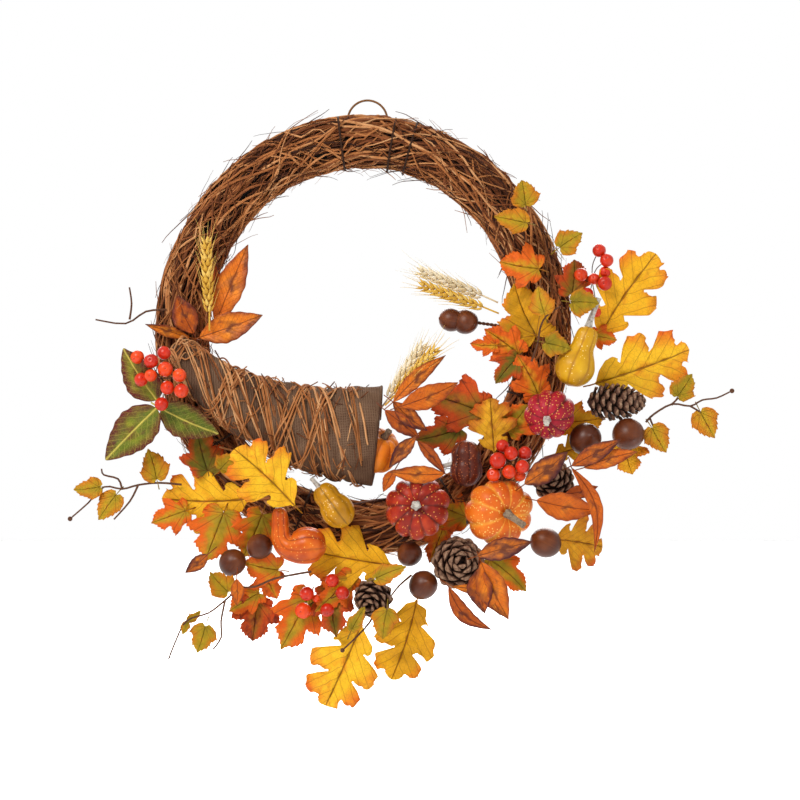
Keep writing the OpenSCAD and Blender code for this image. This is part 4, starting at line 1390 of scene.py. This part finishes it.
def make_leaves():
    oak = leaf_cloth("oak_leaf_cloth", [(0.1, "#c98808"), (0.45, "#e6a60c"), (0.8, "#f4bf22")],
                     "#de6410", "#6e3208", "oak", (0.8, 1.4), "#dc8412", 0.12, 0.9)
    oak_dark = leaf_cloth("oak_leaf_cloth_dark", [(0.1, "#ac6a08"), (0.45, "#d08c10"), (0.8, "#e6aa20")],
                          "#c4560e", "#60280a", "oak", (0.65, 1.3), "#ac6410", 0.25, 0.8)
    maple = leaf_cloth("maple_leaf_cloth", [(0.15, "#827a10"), (0.45, "#b89016"), (0.8, "#dd9a18")],
                       "#e0620c", "#84400c", "palmate", (0.2, 0.6), "#a4380e", 0.12, 0.2)
    gold = leaf_cloth("maple_leaf_cloth_gold", [(0.15, "#b0800a"), (0.45, "#db9c0e"), (0.8, "#eeb222")],
                      "#de6e0e", "#74380a", "palmate", (0.55, 1.05), "#c4740e", 0.12, 0.4)
    rust = leaf_cloth("maple_leaf_cloth_rust", [(0.15, "#535c10"), (0.4, "#7e6812"), (0.8, "#ac6016")],
                      "#c4480c", "#52240a", "palmate", (0.26, 0.7), "#622214", 0.34, 0.2)
    ivy = leaf_cloth("ivy_leaf_cloth", [(0.1, "#746a0c"), (0.45, "#a88a10"), (0.8, "#cc9e18")],
                     "#cf7a10", "#6a5410", "palmate", (0.4, 0.95), "#b06410", 0.25)
    lance = leaf_cloth("lance_leaf_cloth", [(0.1, "#8a380a"), (0.45, "#b8540c"), (0.8, "#dc7a18")],
                       "#561c1c", "#46180e", "lance", (0.5, 1.1), "#40161c", 0.8, 0.3, 0.28)
    copper = leaf_cloth("lance_leaf_cloth_copper", [(0.1, "#a2440a"), (0.45, "#cc620c"), (0.8, "#e98a20")],
                        "#7a2a0e", "#5a220e", "lance", (0.6, 1.2), "#4e1a18", 0.5, 0.2, 0.28)
    laurel = leaf_cloth("laurel_leaf_cloth", [(0.1, "#34460c"), (0.45, "#626e14"), (0.8, "#a09a24")],
                        "#601818", "#d6c45a", "laurel", (0.35, 0.9), "#4e1416", 0.85)
    groups = {
        "oak_leaves_right": ("oak", [oak]), "oak_leaves_centre": ("oak", [oak_dark, oak, oak_dark]),
        "oak_leaves_left": ("oak", [oak]), "oak_leaves_bottom": ("oak", [oak]),
        "maple_leaves_top": ("maple", [maple, maple, rust, maple, gold, maple, rust]),
        "maple_leaves_centre": ("maple", [maple, rust]),
        "maple_leaves_right": ("maple", [maple, gold]),
        "maple_leaves_left": ("maple", [maple, rust, maple, maple]),
        "maple_leaves_bottom": ("maple", [maple, rust, maple]),
        "lance_leaves_left": ("lance", [copper, lance]), "lance_leaves_mouth": ("lance", [lance, copper]),
        "lance_leaves_right": ("lance", [lance, copper]), "lance_leaves_bottom": ("lance", [lance, copper]),
        "laurel_leaves": ("laurel", [laurel]),
        "ivy_leaves_left": ("ivy", [ivy]), "ivy_leaves_lower": ("ivy", [ivy]),
        "ivy_leaves_right": ("ivy", [ivy]), "ivy_leaves_top": ("ivy", [ivy]),
    }
    special = {
        ("lance_leaves_right", 3): {"bow": 0.15},
        ("lance_leaves_bottom", 2): {"bow": -0.14},
        ("lance_leaves_bottom", 3): {"bow": 0.16},
    }
    for g, (node, (kind, choice)) in enumerate(groups.items()):
        for k, spec in enumerate(read_leaves(node)):
            rng = np.random.default_rng(SEED + 100 * g + k)
            style = {"tip_out": rng.uniform(-4, 14), "roll": rng.uniform(-16, 16),
                     "bow": rng.uniform(-0.04, 0.04)}
            style.update(special.get((node, k), {}))
            name = node.replace("leaves", "leaf") + f"_{k + 1}"
            make_leaf(name, node, kind + "_leaf_cloth", spec, kind, choice[k % len(choice)],
                      SEED + 1000 * g + k, **style)


# ---- CAD pieces that stay ----

def paint(node, material):
    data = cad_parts[node].data
    data.materials.clear()
    data.materials.append(material)


def main():
    set_stage()
    bark = vine_bark("grape_vine", [(0.1, "#140804"), (0.32, "#3e1e0f"), (0.55, "#7e4522"),
                                    (0.78, "#b5723e"), (1.0, "#dfab78")])
    # The core's near-black bark is painted shade between the vines, not a darker wood.
    painted_shade_core_bark = vine_bark("grape_vine_core_painted_shade", [(0.1, "#0b0503"), (0.5, "#170b05"), (0.9, "#2a170c")])
    dark_wire = wire_paper("dark_wire", [(0.3, "#1d100a"), (0.6, "#3a2215"), (0.85, "#5a3a24")])
    brown_wire = wire_paper("paper_wire", [(0.3, "#4f3118"), (0.6, "#8a5f38"), (0.85, "#a97f52")])
    tendril = wire_paper("tendril_paper", [(0.3, "#3a2218"), (0.6, "#66432f"), (0.85, "#8f6a4c")])
    stems = {"brown": stem_bark("brown_stem", "#4a382a", "#8b7760"),
             "pale": stem_bark("pale_stem", "#6d675f", "#c4beb4")}
    make_ring(bark, painted_shade_core_bark)
    make_horn(burlap_cloth(), bark)
    make_pumpkins(stems)
    make_gourds(stems)
    scales = cone_scale()
    pinecone("pinecone_front", (0.14, -0.98, 0.07), 58, scales)
    pinecone("pinecone_right", (-0.22, -0.9, 0.37), 52, scales)
    pinecone("pinecone_long", (0.98, -0.19, 0.0), 72, scales)
    pinecone("pinecone_lower", (-0.28, -0.86, -0.43), 50, scales)
    make_nuts(nut_shell(), tendril)
    make_berries(berry_skin(), tendril)
    make_wheat(straw("wheat_cream", [(0.15, "#c4ac80"), (0.5, "#e4d4b0"), (0.9, "#f7efdc")]),
               straw("wheat_gold", [(0.15, "#a87a1c"), (0.5, "#d3a43a"), (0.9, "#ecce74")]))
    make_leaves()
    paint("ring_binding_wires", dark_wire)
    paint("hanger_eye", dark_wire)
    paint("hanger_loop", brown_wire)
    for node in ("tendrils_left", "tendrils_lower", "tendrils_right", "tendrils_top"):
        paint(node, tendril)


main()
